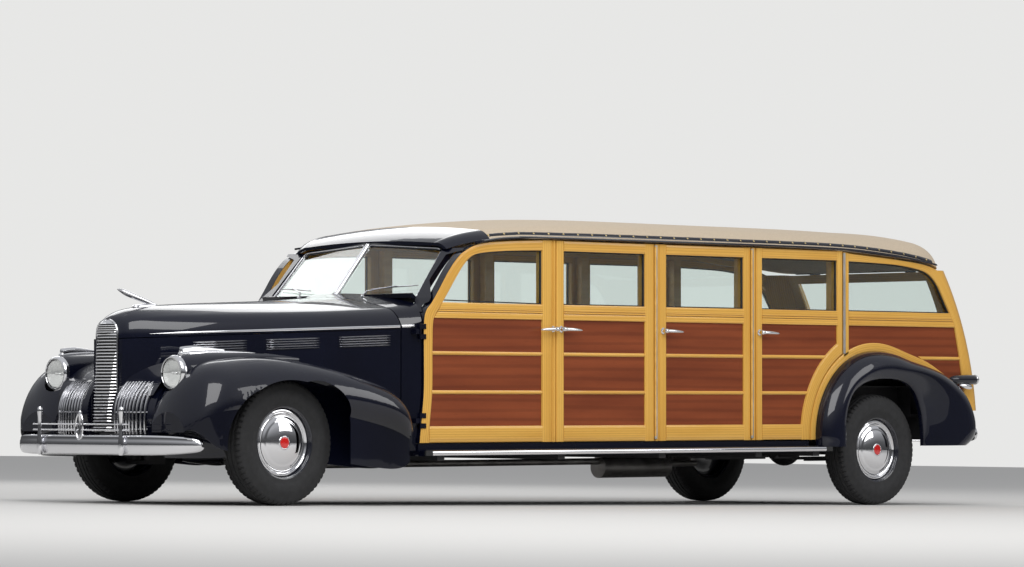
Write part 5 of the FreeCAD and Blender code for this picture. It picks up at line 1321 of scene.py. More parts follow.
def make_headlamps():
    ring, bowl, lens = Shape(), Shape(), Shape()
    rim = [
        (0.0003, 0.100), (0.0003, 0.1068), (0.010, 0.1070), (0.020, 0.1055), (0.029, 0.1010), (0.034, 0.0945),
        (0.0335, 0.0900), (0.029, 0.0875), (0.022, 0.0870), (0.010, 0.0880), (0.004, 0.0900),
    ]
    turned(ring, rim, LAMP, (1, 0, 0), 64)
    dish = [
        (0.022, 0.0872), (0.016, 0.078), (0.010, 0.062), (0.006, 0.044), (0.004, 0.024), (0.0035, 0.012),
        (0.0035, 0.0),
    ]
    turned(bowl, dish, LAMP, (1, 0, 0), 48)
    bulb = [(0.0035, 0.006), (0.010, 0.006), (0.014, 0.009), (0.018, 0.008), (0.021, 0.004), (0.022, 0.0)]
    turned(bowl, bulb, LAMP, (1, 0, 0), 18)
    cover = [
        (0.024, 0.0), (0.0235, 0.040), (0.0215, 0.070), (0.018, 0.0885), (0.023, 0.0893), (0.0265, 0.0880),
        (0.0335, 0.070), (0.0375, 0.040), (0.039, 0.0),
    ]
    turned(lens, cover, LAMP, (1, 0, 0), 64)
    for side, mirror in SIDES:
        piece = ring.make(f"headlamp_ring_{side}", "root", "chrome", mirror=mirror)
        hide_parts("headlamp_bezels")
        bowl.make(f"headlamp_bowl_{side}", "root", "chrome", ["lamp_bowl"], mirror)
        piece = lens.make(f"headlamp_lens_{side}", "root", "lamp_glass", mirror=mirror)
        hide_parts("headlamp_lenses")


FAIRING = (
    # place from the front axle, side of its middle, height of its top, half width, depth under the top
    (0.6395, 0.5580, 0.9370, 0.1050, 0.210),
    (0.600, 0.5590, 0.9440, 0.1060, 0.215),
    (0.540, 0.5620, 0.9485, 0.1050, 0.215),
    (0.450, 0.5690, 0.9520, 0.1000, 0.200),
    (0.350, 0.5790, 0.9540, 0.0910, 0.170),
    (0.250, 0.5900, 0.9550, 0.0790, 0.140),
    (0.150, 0.6020, 0.9545, 0.0640, 0.115),
    (0.050, 0.6150, 0.9515, 0.0480, 0.090),
    (-0.050, 0.6290, 0.9455, 0.0320, 0.065),
    (-0.150, 0.6430, 0.9350, 0.0150, 0.045),
    (-0.230, 0.6550, 0.9240, 0.0050, 0.030),
)


def make_fairings():
    """The long fairings behind the headlamps, with a lamp and its spear on each."""
    body, metal = Shape(), Shape()
    rows, spots = [], []
    for place, y, top, half, depth in smooth(FAIRING, 50):
        row = []
        for step in range(32):
            turn = 2 * math.pi * step / 32
            row.append(
                Vector(
                    (
                        FRONT_AXLE + place, y + half * math.sin(turn),
                        top - depth / 2 + depth / 2 * math.cos(turn),
                    )
                )
            )
        rows.append(row)
        spots.append([(place, 0.01 * step) for step in range(33)])
    body.grid(rows, spots, closed=True, caps=True)
    both_sides(body, "lamp_fairing", "root", "navy_paint")
    top_line = smooth(FAIRING, 80)
    spear = [spot for spot in top_line if 0.078 <= spot[0] <= 0.632]
    path = [(FRONT_AXLE + place, y + 0.012, top - 0.001) for place, y, top, half, depth in spear]
    count = len(path) - 1
    taper = [min(1.0, 0.25 + step / 4, (count - step) / count * 1.25 + 0.05) for step in range(count + 1)]
    band(metal, path, 0.044, 0.015, (0, 0, 1), steps=8, taper=taper, sink=0.014)
    lamp = []
    heights = []
    for place, y, top, half, depth in spear:
        if place > 0.300:
            lamp.append((FRONT_AXLE + place - 0.012, y + 0.012, top + 0.007))
            heights.append(place)
    taper = [
        min(1.0, 0.35 + 0.30 * step) * (0.15 + 0.85 * (heights[step] - 0.300) / 0.330)
        for step in range(len(lamp))
    ]
    band(metal, lamp, 0.036, 0.036, (0, 0, 1), steps=10, taper=taper, sink=0.004)
    both_sides(metal, "fender_lamp", "root", "chrome")


def make_ornament():
    metal = Shape()
    line = smooth((
        # place, height of the middle, half height, half width
        (0.360, 1.246, 0.012, 0.0090), (0.400, 1.259, 0.0155, 0.0100), (0.480, 1.284, 0.0165, 0.0115),
        (0.540, 1.3025, 0.0178, 0.0120),
        (0.580, 1.3155, 0.0165, 0.0115), (0.612, 1.3265, 0.0105, 0.0085), (0.633, 1.3325, 0.0030, 0.0030),
    ), 30)
    rows, spots = [], []
    for place, level, high, half in line:
        rows.append(
            [
                Vector(
                    (
                        FRONT_AXLE + place, half * math.sin(2 * math.pi * s / 20),
                        level + high * math.cos(2 * math.pi * s / 20),
                    )
                )
                for s in range(20)
            ]
        )
        spots.append([(place, 0.005 * s) for s in range(21)])
    metal.grid(rows, spots, closed=True, caps=True)
    base = [
        (FRONT_AXLE + x, 0, z)
        for x, z in ((0.336, 1.2400), (0.380, 1.2405), (0.430, 1.2385), (0.480, 1.2345), (0.518, 1.2290))
    ]
    base = smooth(base, 20)
    band(
        metal, base, 0.048, 0.010, (0, 0, 1), steps=10,
        taper=[0.3, 0.7, 0.92] + [1.0] * 14 + [0.95, 0.85, 0.65, 0.3], sink=0.016,
    )
    metal.make("hood_ornament", "hood", "chrome")


HOOD = (
    # share of the length from the rear, share of the half width, height at the belt, height at the crown
    (0.000, 1.000, 1.123, 1.310), (0.225, 0.870, 1.107, 1.285), (0.465, 0.715, 1.091, 1.268),
    (0.705, 0.525, 1.074, 1.250),
    (0.885, 0.345, 1.062, 1.226), (0.970, 0.215, 1.056, 1.185), (1.000, 0.135, 1.053, 1.128),
)
HOOD_REAR, HOOD_LENGTH, HOOD_HALF = FRONT_AXLE - 0.955, 1.660, 0.765


def arc_between(start, middle, end, count):
    """Points along the arc from a start through a middle to an end, all (across, height)."""
    cx, cz, radius = circle_through(start, middle, end)
    first, via, last = [math.atan2(z - cz, x - cx) for x, z in (start, middle, end)]
    way = 1 if (via - first) % (2 * math.pi) < (last - first) % (2 * math.pi) else -1
    sweep = (last - first) * way % (2 * math.pi) * way
    return [
        (
            cx + radius * math.cos(first + sweep * step / count),
            cz + radius * math.sin(first + sweep * step / count),
        )
        for step in range(count + 1)
    ]


def hood_section(half, belt, crown, skirt):
    """A cross-section of the hood: upright skirts, round shoulders and an arched top."""
    climb = crown - belt
    side = (half * 0.82, belt + climb * 0.62)
    elbow = (half * 0.94, belt + climb * 0.372)
    top = arc_between(side, (0, crown), (-side[0], side[1]), 30)
    shoulder = arc_between((half, belt), elbow, side, 10)
    ends = [(half, belt - skirt), (half, belt - skirt * 0.5)]
    line = ends + shoulder[:-1] + top
    return line + [(-y, z) for y, z in (ends + shoulder[:-1])[::-1]]


def make_hood():
    """The hood's steel shell: a smooth skin and the liner under it."""
    skin, liner = Shape(), Shape()
    for shape, inset, skirt in ((skin, 0.0, 0.014), (liner, 0.006, 0.012)):
        rows, spots = [], []
        for share, width, belt, crown in smooth(HOOD, 60):
            x = HOOD_REAR + share * HOOD_LENGTH - (inset if share > 0.99 else 0)
            section = hood_section(HOOD_HALF * width - inset, belt, crown - inset, skirt)
            rows.append([Vector((x, y, z)) for y, z in section])
            spots.append([(x, 0.02 * step) for step in range(len(section))])
        shape.grid(rows, spots)
        front = rows[-1]
        middle = Vector((front[0].x, 0, front[0].z))
        tip = [middle + (spot - middle) * 0.5 for spot in front]
        shape.grid(
            [front, tip, [middle] * len(front)], [[(0, 0.02 * step) for step in range(len(front))]] * 3,
        )
    piece = skin.make("hood_skin", "hood", "navy_paint")
    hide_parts("hood")
    liner.make("hood_liner", "hood", "chassis_black")


HOOD_WIDTH = (
    # place from the front axle, half the width of the nose at the belt
    (-0.955, 0.765), (-0.582, 0.6655), (-0.183, 0.547), (0.215, 0.4016), (0.514, 0.264), (0.705, 0.134),
)
CATWALK = (
    # place from the front axle, height beside the nose, height beside the lamp's fairing, outer side
    (0.722, 0.722, 0.700, 0.450), (0.700, 0.764, 0.742, 0.462), (0.665, 0.806, 0.790, 0.472),
    (0.620, 0.842, 0.828, 0.480), (0.560, 0.873, 0.862, 0.488),
    (0.480, 0.900, 0.888, 0.500), (0.380, 0.920, 0.908, 0.516), (0.250, 0.934, 0.922, 0.540),
    (0.100, 0.940, 0.930, 0.570), (-0.050, 0.934, 0.926, 0.602),
    (-0.200, 0.914, 0.908, 0.634), (-0.340, 0.876, 0.872, 0.664),
)


def nose_side(x):
    """Half the width of the engine's side panels at a place."""
    place = x - FRONT_AXLE
    for (a, wide), (b, narrow) in zip(HOOD_WIDTH, HOOD_WIDTH[1:]):
        if place <= b:
            return wide + (narrow - wide) * (place - a) / (b - a)
    return HOOD_WIDTH[-1][1]


def make_catwalks():
    """The smooth ramp that fills the corner between the nose and a lamp's fairing."""
    shape = Shape()
    rows, spots = [], []
    for place, near, far, outer in smooth(CATWALK, 44):
        x = FRONT_AXLE + place
        inner = nose_side(x) - 0.003
        outer = max(outer, inner + 0.012)
        row = []
        for step in range(15):
            share = step / 14
            dip = 0.016 * math.sin(math.pi * share) * min(1.0, (outer - inner) / 0.12)
            row.append(Vector((x, inner + (outer - inner) * share, near + (far - near) * share - dip)))
        rows.append(row)
        spots.append([(place, 0.02 * step) for step in range(15)])
    shape.grid(rows, spots)
    both_sides(shape, "catwalk", "root", "navy_paint")


APRON = (
    # place from the front axle, side, upper edge, lower edge
    (0.560, 0.898, 0.420, 0.338), (0.590, 0.875, 0.450, 0.334), (0.618, 0.830, 0.485, 0.332),
    (0.640, 0.770, 0.515, 0.331), (0.655, 0.690, 0.530, 0.330), (0.662, 0.600, 0.530, 0.330),
    (0.660, 0.500, 0.530, 0.330), (0.655, 0.440, 0.530, 0.330),
)


def make_aprons():
    """The lower front of a fender, which rolls in under the bumper's end."""
    shape = Shape()
    rows, spots = [], []
    for place, y, high, low in smooth(APRON, 50):
        row = []
        for step in range(9):
            share = step / 8
            tuck = 0.045 * (1 - share) ** 2
            row.append(Vector((FRONT_AXLE + place - tuck, y - 0.4 * tuck, low + (high - low) * share)))
        rows.append(row)
        spots.append([(place, 0.02 * step) for step in range(9)])
    shape.grid(rows, spots)
    both_sides(shape, "fender_apron", "root", "navy_paint")


def make_door_edges():
    """Steel along the front doors' leading edges."""
    shape = Shape()
    outer = member_line()[0]
    rows, spots = [], []
    pieces = [spot for spot in outer if spot[0] > DOOR_FRONT - 0.62]
    for index, (x, z) in enumerate(pieces):
        before, after = pieces[max(index - 1, 0)], pieces[min(index + 1, len(pieces) - 1)]
        along = Vector((after[0] - before[0], after[1] - before[1])).normalized()
        away = Vector((along.y, -along.x)) * 0.0018
        if away.x < 0:
            away = -away
        row = [
            (x, BODY_FACE - 0.0035, z), (x + away.x, BODY_FACE - 0.0045, z + away.y),
            (x + away.x, DOOR_BACK - 0.001, z + away.y), (x, DOOR_BACK - 0.002, z),
        ]
        rows.append([Vector(p) for p in row])
        spots.append([(index * 0.01, 0.02 * step) for step in range(5)])
    shape.grid(rows, spots, closed=True, caps=True)
    for side, mirror in SIDES:
        shape.make(f"door_edge_{side}", f"door_front_{side}", "navy_paint", mirror=mirror)


# Windscreen, roof and lamps.

PANE = ((-1.098, 0.014, 1.322), (-1.372, 0.014, 1.645), (-1.418, 0.650, 1.606), (-1.150, 0.690, 1.286))


def rounded(corners, radius, count=7):
    """A closed loop through corners in space, each rounded off."""
    loop = []
    total = len(corners)
    for index, here in enumerate(corners):
        before, after = Vector(corners[index - 1]), Vector(corners[(index + 1) % total])
        here = Vector(here)
        first = here + (before - here).normalized() * radius
        last = here + (after - here).normalized() * radius
        for step in range(count + 1):
            t = step / count
            loop.append(first * (1 - t) ** 2 + here * (2 * t * (1 - t)) + last * t**2)
    return loop


def make_windscreen_trim():
    metal, rubber = Shape(), Shape()
    corners = [Vector((FRONT_AXLE + x, y, z)) for x, y, z in PANE]
    away = (corners[1] - corners[0]).cross(corners[3] - corners[0]).normalized()
    if away.x < 0:
        away = -away
    centre = sum(corners, Vector()) / 4
    radii = 0.045
    for shape, reach, width, height in ((rubber, 0.010, 0.034, 0.007), (metal, -0.003, 0.011, 0.011)):
        moved = [spot + (spot - centre).normalized() * reach + away * 0.001 for spot in corners]
        loop = rounded(moved, radii)
        loop.append(loop[0])
        loop.append(loop[1])
        band(shape, loop, width, height, tuple(away), steps=6, sink=0.006)
    both_sides(metal, "windscreen_rim", "root", "chrome")
    both_sides(rubber, "windscreen_rubber", "root", "trim_black")
    post = Shape()
    low, high = Vector((FRONT_AXLE - 1.092, 0, 1.318)), Vector((FRONT_AXLE - 1.372, 0, 1.648))
    band(
        post, [low + (high - low) * step / 6 for step in range(7)], 0.030, 0.014, (0.76, 0, 0.64), steps=8,
        sink=0.012,
    )
    post.make("windscreen_post", "root", "chrome")
    wiper = Shape()
    pivot = Vector((FRONT_AXLE - 1.068, 0.300, 1.303))
    base = [(-0.012, 0.0), (-0.012, 0.015), (0.004, 0.014), (0.016, 0.009), (0.024, 0.008), (0.026, 0.0)]
    turned(wiper, base, pivot, tuple(away), 18)
    lift = away * 0.020
    along = (corners[3] - corners[0]).normalized()
    upward = (corners[1] - corners[0]).normalized()
    start = pivot + lift
    elbow = start + upward * 0.040 + along * 0.010
    middle = corners[0] + along * 0.480 + upward * 0.085 + away * 0.026
    tube(
        wiper, [start, elbow, elbow + (middle - elbow) * 0.5 + away * 0.003, middle],
        [0.005, 0.0042, 0.0035, 0.003], 10,
    )
    first = corners[0] + along * 0.270 + upward * 0.055 + away * 0.016
    last = corners[0] + along * 0.640 + upward * 0.105 + away * 0.016
    tube(wiper, [first, first + (last - first) * 0.5 + away * 0.004, last], [0.0028, 0.0045, 0.0028], 8)
    both_sides(wiper, "wiper", "root", "chrome")


RAIL_LINE = (
    (-1.500, 1.646), (-1.600, 1.661), (-1.700, 1.674), (-1.850, 1.684), (-2.000, 1.689), (-2.900, 1.692),
    (-4.300, 1.692), (-4.900, 1.686), (-5.250, 1.668), (-5.525, 1.644), (-5.800, 1.608), (-5.860, 1.598),
)


def make_roof_edge():
    """A row of bright tacks in the dark binding over the gutter."""
    tacks, binding, gutter = Shape(), Shape(), Shape()
    line = [(FRONT_AXLE + x, z) for x, z in smooth(RAIL_LINE, 200)]
    lower = [
        drop_on(["roof", "cowl"], (x, 1.2, z + 0.026), (0, -1, 0)) for x, z in line if x < FRONT_AXLE - 1.655
    ]
    path, outs = [p for p, n in lower], [tuple(n) for p, n in lower]
    band(binding, path, 0.026, 0.0030, outs, steps=4)
    total = lengths([tuple(p) for p in path])
    spacing = 0.125
    place, index = 0.0, 0
    while place < total[-1]:
        while total[index + 1] < place:
            index += 1
        share = (place - total[index]) / (total[index + 1] - total[index])
        spot = path[index] + (path[index + 1] - path[index]) * share
        away = Vector(outs[index])
        turned(
            tacks, [(0.001, 0.0075), (0.0045, 0.0068), (0.0070, 0.0035), (0.0075, 0.0)], spot, tuple(away), 8,
        )
        place += spacing
    face = BODY_FACE + 0.020
    ends = [min(1.0, 0.3 + 0.06 * min(step, len(line) - 1 - step)) for step in range(len(line))]
    edge = [face - 0.016 * (1 - share) for share in ends]
    band(
        gutter, [(x, y, z + 0.001) for (x, z), y in zip(line, edge)], 0.013, 0.0035, (0, 1, 0), steps=5,
        sink=0.004, taper=ends,
    )
    both_sides(binding, "roof_binding", "root", "navy_paint")
    both_sides(tacks, "roof_tacks", "root", "chrome", ["brass"])
    both_sides(gutter, "gutter_edge", "root", "navy_paint")


TAIL_LAMP = (FRONT_AXLE - 6.240, BODY_FACE + 0.034, 0.814)


def make_tail_lamps():
    shell, lens, foot = Shape(), Shape(), Shape()
    profile = [
        (0.012, 0.0285), (0.020, 0.0320), (0.060, 0.0333), (0.120, 0.0333), (0.180, 0.0328), (0.212, 0.0322),
        (0.235, 0.0292), (0.256, 0.0232), (0.272, 0.0178), (0.2815, 0.0120), (0.2835, 0.0),
    ]
    turned(shell, profile, TAIL_LAMP, (1, 0, 0), 40)
    cover = [(0.022, 0.0290), (0.008, 0.0285), (-0.0005, 0.0245), (-0.006, 0.0150), (-0.008, 0.0)]
    turned(lens, cover, TAIL_LAMP, (1, 0, 0), 32)
    ring = [(0.008, 0.0280), (0.006, 0.0325), (0.012, 0.0345), (0.020, 0.0335), (0.024, 0.0300)]
    turned(foot, ring, TAIL_LAMP, (1, 0, 0), 40)
    x, y, z = TAIL_LAMP
    block(foot, x + 0.060, x + 0.105, BODY_FACE - 0.002, BODY_FACE + 0.024, z - 0.015, z + 0.015, edge=0.004)
    bullet = [
        (-0.052, 0.0), (-0.046, 0.012), (-0.030, 0.019), (0.0, 0.021), (0.030, 0.018), (0.060, 0.010),
        (0.080, 0.0),
    ]
    turned(foot, bullet, (x + 0.120, y + 0.016, z - 0.046), (1, 0, 0.12), 24)
    for side, mirror in SIDES:
        piece = shell.make(f"tail_lamp_shell_{side}", "root", "navy_paint", mirror=mirror)
        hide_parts("tail_lamps")
        lens.make(f"tail_lamp_lens_{side}", "root", "lamp_red", mirror=mirror)
        foot.make(f"tail_lamp_ring_{side}", "root", "chrome", mirror=mirror)


FENDER_LINE = (
    # angle about the arch's centre, radius of the fender's outer edge
    (-3.0, 0.576), (20.0, 0.576), (45.0, 0.576), (68.0, 0.576), (90.0, 0.576), (108.0, 0.588), (124.0, 0.620),
    (138.0, 0.706), (150.0, 0.820),
    (158.0, 0.902), (164.0, 0.958), (171.0, 0.996), (176.0, 1.008), (180.5, 0.990), (184.5, 0.905),
)
OPENING = (
    (0.424, 0.3623), (0.424, 0.43), (0.424, 0.50), (0.416, 0.57), (0.396, 0.64), (0.350, 0.715),
    (0.280, 0.768), (0.200, 0.800), (0.110, 0.816), (0.020, 0.820),
    (-0.070, 0.816), (-0.150, 0.803), (-0.225, 0.773), (-0.290, 0.715), (-0.333, 0.635), (-0.358, 0.55),
    (-0.370, 0.45), (-0.372, 0.3623),
)
FENDER_FOOT, FENDER_BASE, FENDER_REACH = 0.3623, BODY_FACE + 0.003, 0.128


def even_line(points, count):
    """The same line of (x, z) points, evenly spaced."""
    run = lengths(points)
    found, index = [], 0
    for step in range(count + 1):
        place = run[-1] * step / count
        while index < len(points) - 2 and run[index + 1] < place:
            index += 1
        share = (place - run[index]) / max(run[index + 1] - run[index], 1e-6)
        (ax, az), (bx, bz) = points[index], points[index + 1]
        found.append((ax + (bx - ax) * share, az + (bz - az) * share))
    return found


def make_rear_fenders():
    """Rear fenders: a crowned pressing from the body's side out to the wheel's opening."""
    shape = Shape()
    edge = [arch_spot(radius, angle) for angle, radius in smooth(FENDER_LINE, 120)]
    edge = [(edge[0][0], FENDER_FOOT)] + edge + [(edge[-1][0], FENDER_FOOT - 0.001)]
    opening = [(REAR_AXLE + x, z) for x, z in smooth(OPENING, 120)]
    rows, spots = [], []
    for step, ((ox, oz), (ix, iz)) in enumerate(zip(even_line(edge, 110), even_line(opening, 110))):
        width = math.hypot(ix - ox, iz - oz)
        shoulder = min(0.150, width * 0.72)
        row = []
        for place in range(15):
            turn = math.radians(90 * place / 14)
            reach = shoulder * (1 - math.cos(turn))
            share = reach / width
            row.append(
                Vector(
                    (
                        ox + (ix - ox) * share, FENDER_BASE + FENDER_REACH * math.sin(turn),
                        oz + (iz - oz) * share,
                    )
                )
            )
        for place in range(1, 10):
            beyond = place / 9
            share = (shoulder + (width - shoulder) * beyond) / width
            fall = 0.016 * beyond**2.2
            row.append(
                Vector((ox + (ix - ox) * share, FENDER_BASE + FENDER_REACH - fall, oz + (iz - oz) * share))
            )
        y = row[-1].y
        row += [
            Vector((ix, y - 0.004, iz)) + Vector((ix - ox, 0, iz - oz)) / width * 0.004,
            Vector((ix, y - 0.012, iz)) + Vector((ix - ox, 0, iz - oz)) / width * 0.004,
            Vector((ix, y - 0.040, iz)),
        ]
        rows.append(row)
        spots.append([(step * 0.02, 0.02 * place) for place in range(len(row))])
    shape.grid(rows, spots)
    for side, mirror in SIDES:
        piece = shape.make(f"rear_fender_{side}", "root", "navy_paint", mirror=mirror, sharp=50.0)
        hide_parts("rear_fenders")


def make_rear_bumper():
    metal, brackets = Shape(), Shape()
    bumper_blade(metal, -NOSE, 0.440, -1)
    for side in (-1, 1):
        profile = [
            (-0.062, 0.0), (-0.060, 0.012), (-0.050, 0.017), (0.030, 0.017), (0.060, 0.013), (0.078, 0.009),
            (0.082, 0.0),
        ]
        turned(metal, profile, (-NOSE + 0.030, side * 0.390, 0.440), (0, 0, 1), 20)
        block(
            brackets, -NOSE + 0.032, REAR_AXLE - 1.0405, side * 0.3675 - 0.016, side * 0.3675 + 0.016, 0.437,
            0.483,
        )
    piece = metal.make("rear_bumper_blade", "root", "chrome")
    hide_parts("rear_bumper")
    brackets.make("rear_bumper_brackets", "root", "chassis_black")


def make_boards():
    """Ribs on the running boards, and the bright strip along each board's edge."""
    ribs, strip, caps = Shape(), Shape(), Shape()
    front, rear = DOOR_FRONT + 0.034, FRONT_AXLE - 4.642
    for count in range(7):
        y = BODY_FACE + 0.014 + 0.0098 * count
        path = [(rear + 0.070 + (front - rear - 0.140) * step / 8, y, 0.3635) for step in range(9)]
        band(ribs, path, 0.006, 0.0035, (0, 0, 1), steps=4, sink=0.001)
    path = [(rear - 0.018 + (front - rear + 0.016) * step / 16, 0.9385, 0.3475) for step in range(17)]
    band(strip, path, 0.029, 0.0075, (0, 1, 0), steps=8, sink=0.004)
    for x in (path[0][0] + 0.010, path[-1][0] - 0.014):
        block(caps, x - 0.028, x + 0.028, 0.934, 0.9475, 0.332, 0.363, edge=0.004)
    both_sides(ribs, "board_mat_ribs", "root", "tyre_rubber")
    both_sides(strip, "board_strip", "root", "chrome")
    both_sides(caps, "board_caps", "root", "trim_black")


# Wheels.

FRONT_TRACK, REAR_TRACK = 0.722, 0.782
HUB_LEVEL = 0.375
TYRE_PROFILE = (
    # out from the middle, radius, depth that the shoulder's notches take off
    (-0.0715, 0.2140, 0), (-0.0790, 0.2190, 0), (-0.0830, 0.2320, 0), (-0.0905, 0.2560, 0),
    (-0.0935, 0.2620, 0), (-0.0940, 0.2900, 0),
    (-0.0925, 0.3150, 0), (-0.0900, 0.3200, 0), (-0.0885, 0.3380, 0.002), (-0.0820, 0.3560, 0.006),
    (-0.0700, 0.3675, 0.008), (-0.0520, 0.3715, 0.007),
    (-0.0480, 0.3660, 0), (-0.0440, 0.3660, 0), (-0.0400, 0.3728, 0.003), (-0.0240, 0.3740, 0),
    (-0.0205, 0.3675, 0), (-0.0165, 0.3675, 0),
    (-0.0130, 0.3745, 0.002), (0.0, 0.3748, 0),
)


def tyre(shape, centre):
    """A tyre with ribs round its tread and notched shoulders."""
    half = [(-out, radius, notch) for out, radius, notch in reversed(TYRE_PROFILE[:-1])]
    profile = list(TYRE_PROFILE) + half
    profile += [(0.0700, 0.2130, 0), (-0.0700, 0.2130, 0)]
    steps = 64 * 4
    rows, spots = [], []
    run = lengths([(out, radius) for out, radius, notch in profile + profile[:1]])
    for step in range(steps + 1):
        row = []
        for out, radius, notch in profile:
            lag = 1 if out > 0 else 0
            cut = notch if (step + 2 * lag) % 4 == 0 else 0
            turn = 2 * math.pi * step / steps
            row.append(
                Vector(
                    (
                        centre[0] + (radius - cut) * math.cos(turn), centre[1] + out,
                        centre[2] + (radius - cut) * math.sin(turn),
                    )
                )
            )
        rows.append(row)
        spots.append([(0.36 * 2 * math.pi * step / steps, place) for place in run])
    shape.grid(rows, spots, closed=True)


RIM_PROFILE = (
    (-0.0600, 0.2125), (-0.0700, 0.2125), (-0.0740, 0.2200), (-0.0765, 0.2190), (-0.0730, 0.2080),
    (-0.0600, 0.2030), (-0.0550, 0.1930), (-0.0100, 0.1880),
    (-0.0060, 0.1500), (-0.0180, 0.1150), (-0.0200, 0.0640),
)
OUTER_RIM = (
    (0.0600, 0.2125), (0.0700, 0.2125), (0.0740, 0.2205), (0.0768, 0.2195), (0.0740, 0.2090),
    (0.0620, 0.2055), (0.0500, 0.2040), (0.0420, 0.2000), (0.0300, 0.1900),
    (0.0080, 0.1850), (0.0040, 0.1500), (0.0, 0.0640), (-0.0200, 0.0640),
)
HUBCAP = (
    (0.0300, 0.1960), (0.0440, 0.2010), (0.0490, 0.2000), (0.0530, 0.1960), (0.0540, 0.1905),
    (0.0515, 0.1860), (0.0470, 0.1835), (0.0450, 0.1790), (0.0465, 0.1740),
    (0.0500, 0.1700), (0.0485, 0.1640), (0.0500, 0.1580), (0.0545, 0.1500), (0.0585, 0.1380),
    (0.0580, 0.1330), (0.0605, 0.1270), (0.0655, 0.1080), (0.0695, 0.0880),
    (0.0725, 0.0660), (0.0738, 0.0500), (0.0742, 0.0430), (0.0765, 0.0410), (0.0775, 0.0380),
    (0.0768, 0.0350), (0.0745, 0.0340),
)
CENTRE = ((0.0742, 0.0350), (0.0752, 0.0330), (0.0760, 0.0250), (0.0765, 0.0150), (0.0768, 0.0))


def make_wheels():
    for body, x, y, way in (
        ("wheel_front_left", FRONT_AXLE, FRONT_TRACK, 1), ("wheel_front_right", FRONT_AXLE, -FRONT_TRACK, -1),
        ("wheel_rear_left", REAR_AXLE, REAR_TRACK, 1), ("wheel_rear_right", REAR_AXLE, -REAR_TRACK, -1),
    ):
        centre = (x, y, HUB_LEVEL)
        axis = (0, way, 0)
        rubber, rim, cap, disc, line = Shape(), Shape(), Shape(), Shape(), Shape()
        tyre(rubber, centre)
        turned(rim, list(reversed(RIM_PROFILE)) + [(-0.060, 0.2125), (0.060, 0.2125)], centre, axis, 72)
        turned(rim, OUTER_RIM, centre, axis, 72)
        turned(cap, HUBCAP, centre, axis, 80)
        turned(disc, CENTRE, centre, axis, 36)
        turned(
            line, [(0.0742, 0.2215), (0.0772, 0.2212), (0.0776, 0.2190), (0.0765, 0.2178)], centre, axis, 72,
        )
        tyre_node = body.replace("wheel", "tyre")
        piece = rubber.make(f"{body}_rubber", body, "tyre_rubber", raked=False, sharp=28.0)
        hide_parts(tyre_node)
        piece = rim.make(f"{body}_rim", body, "navy_paint", ["wheel_paint"], raked=False)
        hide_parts(body)
        line.make(f"{body}_rim_line", body, "chrome", raked=False)
        cap.make(f"{body}_hubcap", body, "chrome", raked=False)
        disc.make(f"{body}_hubcap_centre", body, "lamp_red", ["red_enamel"], raked=False)


# Seats and linings.

SEAT_REAR = FIRST_SEAM + 0.060


def pad(shape, x0, x1, half, z0, z1, front_faced, channels):
    """A stuffed form with rounded ends, and sewn channels on its top or its front."""
    middle_x, middle_z = (x0 + x1) / 2, (z0 + z1) / 2
    half_x, half_z = (x1 - x0) / 2, (z1 - z0) / 2
    rows, spots = [], []
    count = channels * 10 + 20
    pitch = 2 * (half - 0.05) / channels
    for step in range(count + 1):
        y = -half * math.cos(
            math.pi * step / count
        ) if step in (0, count) else -half + 2 * half * step / count
        close = min(1.0, (half - abs(y)) / 0.045)
        share = 0.72 + 0.28 * math.sqrt(1 - (1 - close) ** 2)
        place = (y + half - 0.05) / pitch
        seam = abs(place - round(place)) * pitch
        sewn = abs(y) < half - 0.03
        row = []
        for corner in range(36):
            turn = 2 * math.pi * corner / 36
            c, s = math.cos(turn), math.sin(turn)
            x = math.copysign(abs(c) ** 0.36, c) * half_x * share
            z = math.copysign(abs(s) ** 0.36, s) * half_z * share
            crown = 0.010 * (1 - (y / half) ** 2)
            if front_faced and c > 0.3:
                x += crown + (0.006 * min(1.0, (seam / 0.018) ** 0.6) - 0.006 if sewn else 0.0)
            if not front_faced and s > 0.3:
                z += crown + (0.006 * min(1.0, (seam / 0.018) ** 0.6) - 0.006 if sewn else 0.0)
            row.append(Vector((middle_x + x, y, middle_z + z)))
        rows.append(row)
        spots.append([(y, 0.02 * corner) for corner in range(37)])
    shape.grid(rows, spots, closed=True, caps=True)


def make_seats():
    for row in range(4):
        rear = SEAT_REAR - DOOR_PITCH * row
        half = 0.690 if row < 3 else 0.595
        cushion, back = Shape(), Shape()
        pad(cushion, rear + 0.1215, rear + 0.4990, half, 0.6405, 0.8060, False, 12)
        pad(back, rear + 0.001, rear + 0.1195, half, 0.6405, 1.1595, True, 12)
        for form, name, node in ((cushion, "cushion", "seat_cushions"), (back, "back", "seat_backs")):
            piece = form.make(f"seat_{name}_{row + 1}", "root", "tan_leather", sharp=80.0)
            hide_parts(node)


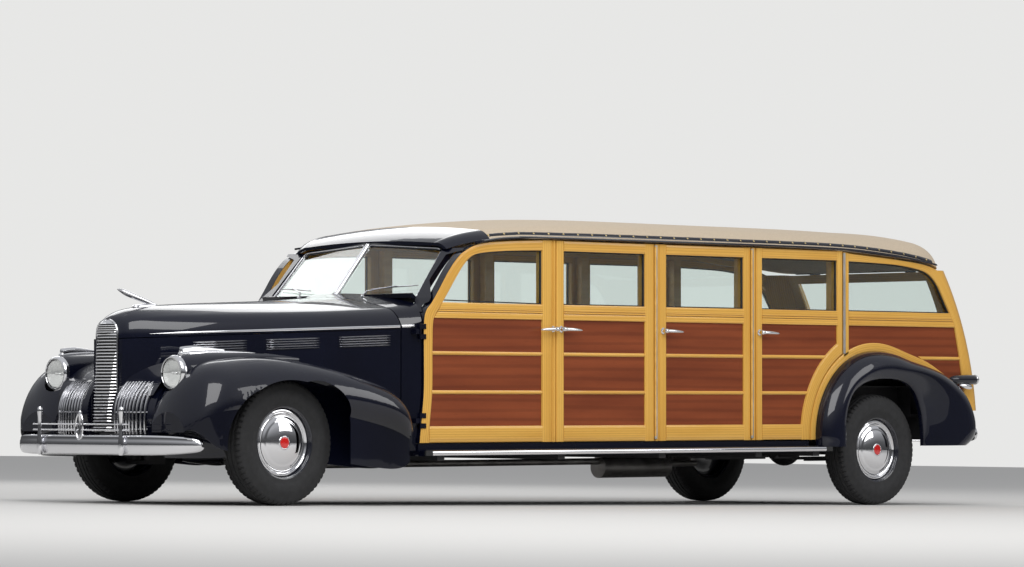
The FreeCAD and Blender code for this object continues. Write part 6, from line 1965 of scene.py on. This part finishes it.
def make_liners():
    """Dark linings over the rear wheels, closed on their inner side."""
    shape = Shape()
    near, far, radius = 0.640, 0.8395, 0.566
    rows, spots = [], []
    for step in range(41):
        x, z = arch_spot(radius, -3 + 186 * step / 40)
        rows.append([Vector((x, near, z)), Vector((x, far, z))])
        spots.append([(step, 0), (step, 0.2)])
    shape.grid(rows, spots)
    inner = [
        [Vector((x, near, z)), Vector((x, near, 0.430 if abs(x - ARCH[0]) > 0.3 else 0.620))]
        for x, z in (arch_spot(radius, -3 + 186 * step / 40) for step in range(41))
    ]
    shape.grid(inner, [[(step, 0), (step, 0.2)] for step in range(41)])
    both_sides(shape, "wheel_lining", "root", "chassis_black")


def make_hinge_leaves():
    """Dark leaves on the front doors over their hinges."""
    shape = Shape()
    for level in (0.545, 1.090):
        block(
            shape, DOOR_FRONT - 0.046, DOOR_FRONT + 0.003, BODY_FACE - 0.001, BODY_FACE + 0.0060,
            level - 0.047, level - 0.0155,
        )
        block(
            shape, DOOR_FRONT - 0.046, DOOR_FRONT + 0.003, BODY_FACE - 0.001, BODY_FACE + 0.0060,
            level + 0.0155, level + 0.047,
        )
    for side, mirror in SIDES:
        shape.make(f"hinge_leaves_{side}", f"door_front_{side}", "navy_paint", mirror=mirror)


bpy.context.scene.view_settings.view_transform = "Standard"
make_materials()
camera()
world()
floor()
area_light("key", (7.0, 8.0, 10.0), (0.0, 0.0, 0.8), (9.0, 9.0), 1150)
area_light("fill", (-7.0, 10.0, 6.0), (-1.0, 0.0, 0.8), (6.0, 6.0), 320)
area_light("back", (-3.0, -9.0, 7.0), (0.0, 0.0, 1.0), (9.0, 5.0), 300)
dress_frame()
make_doors()
make_pillars()
make_quarters()
make_gates()
side_mouldings()
make_grille()
make_side_grilles()
make_front_bumper()
make_headlamps()
make_fairings()
make_catwalks()
make_aprons()
make_door_edges()
make_ornament()
make_hood()
make_windscreen_trim()
make_roof_edge()
make_tail_lamps()
make_rear_fenders()
make_rear_bumper()
make_boards()
make_wheels()
make_seats()
make_liners()
make_hinge_leaves()
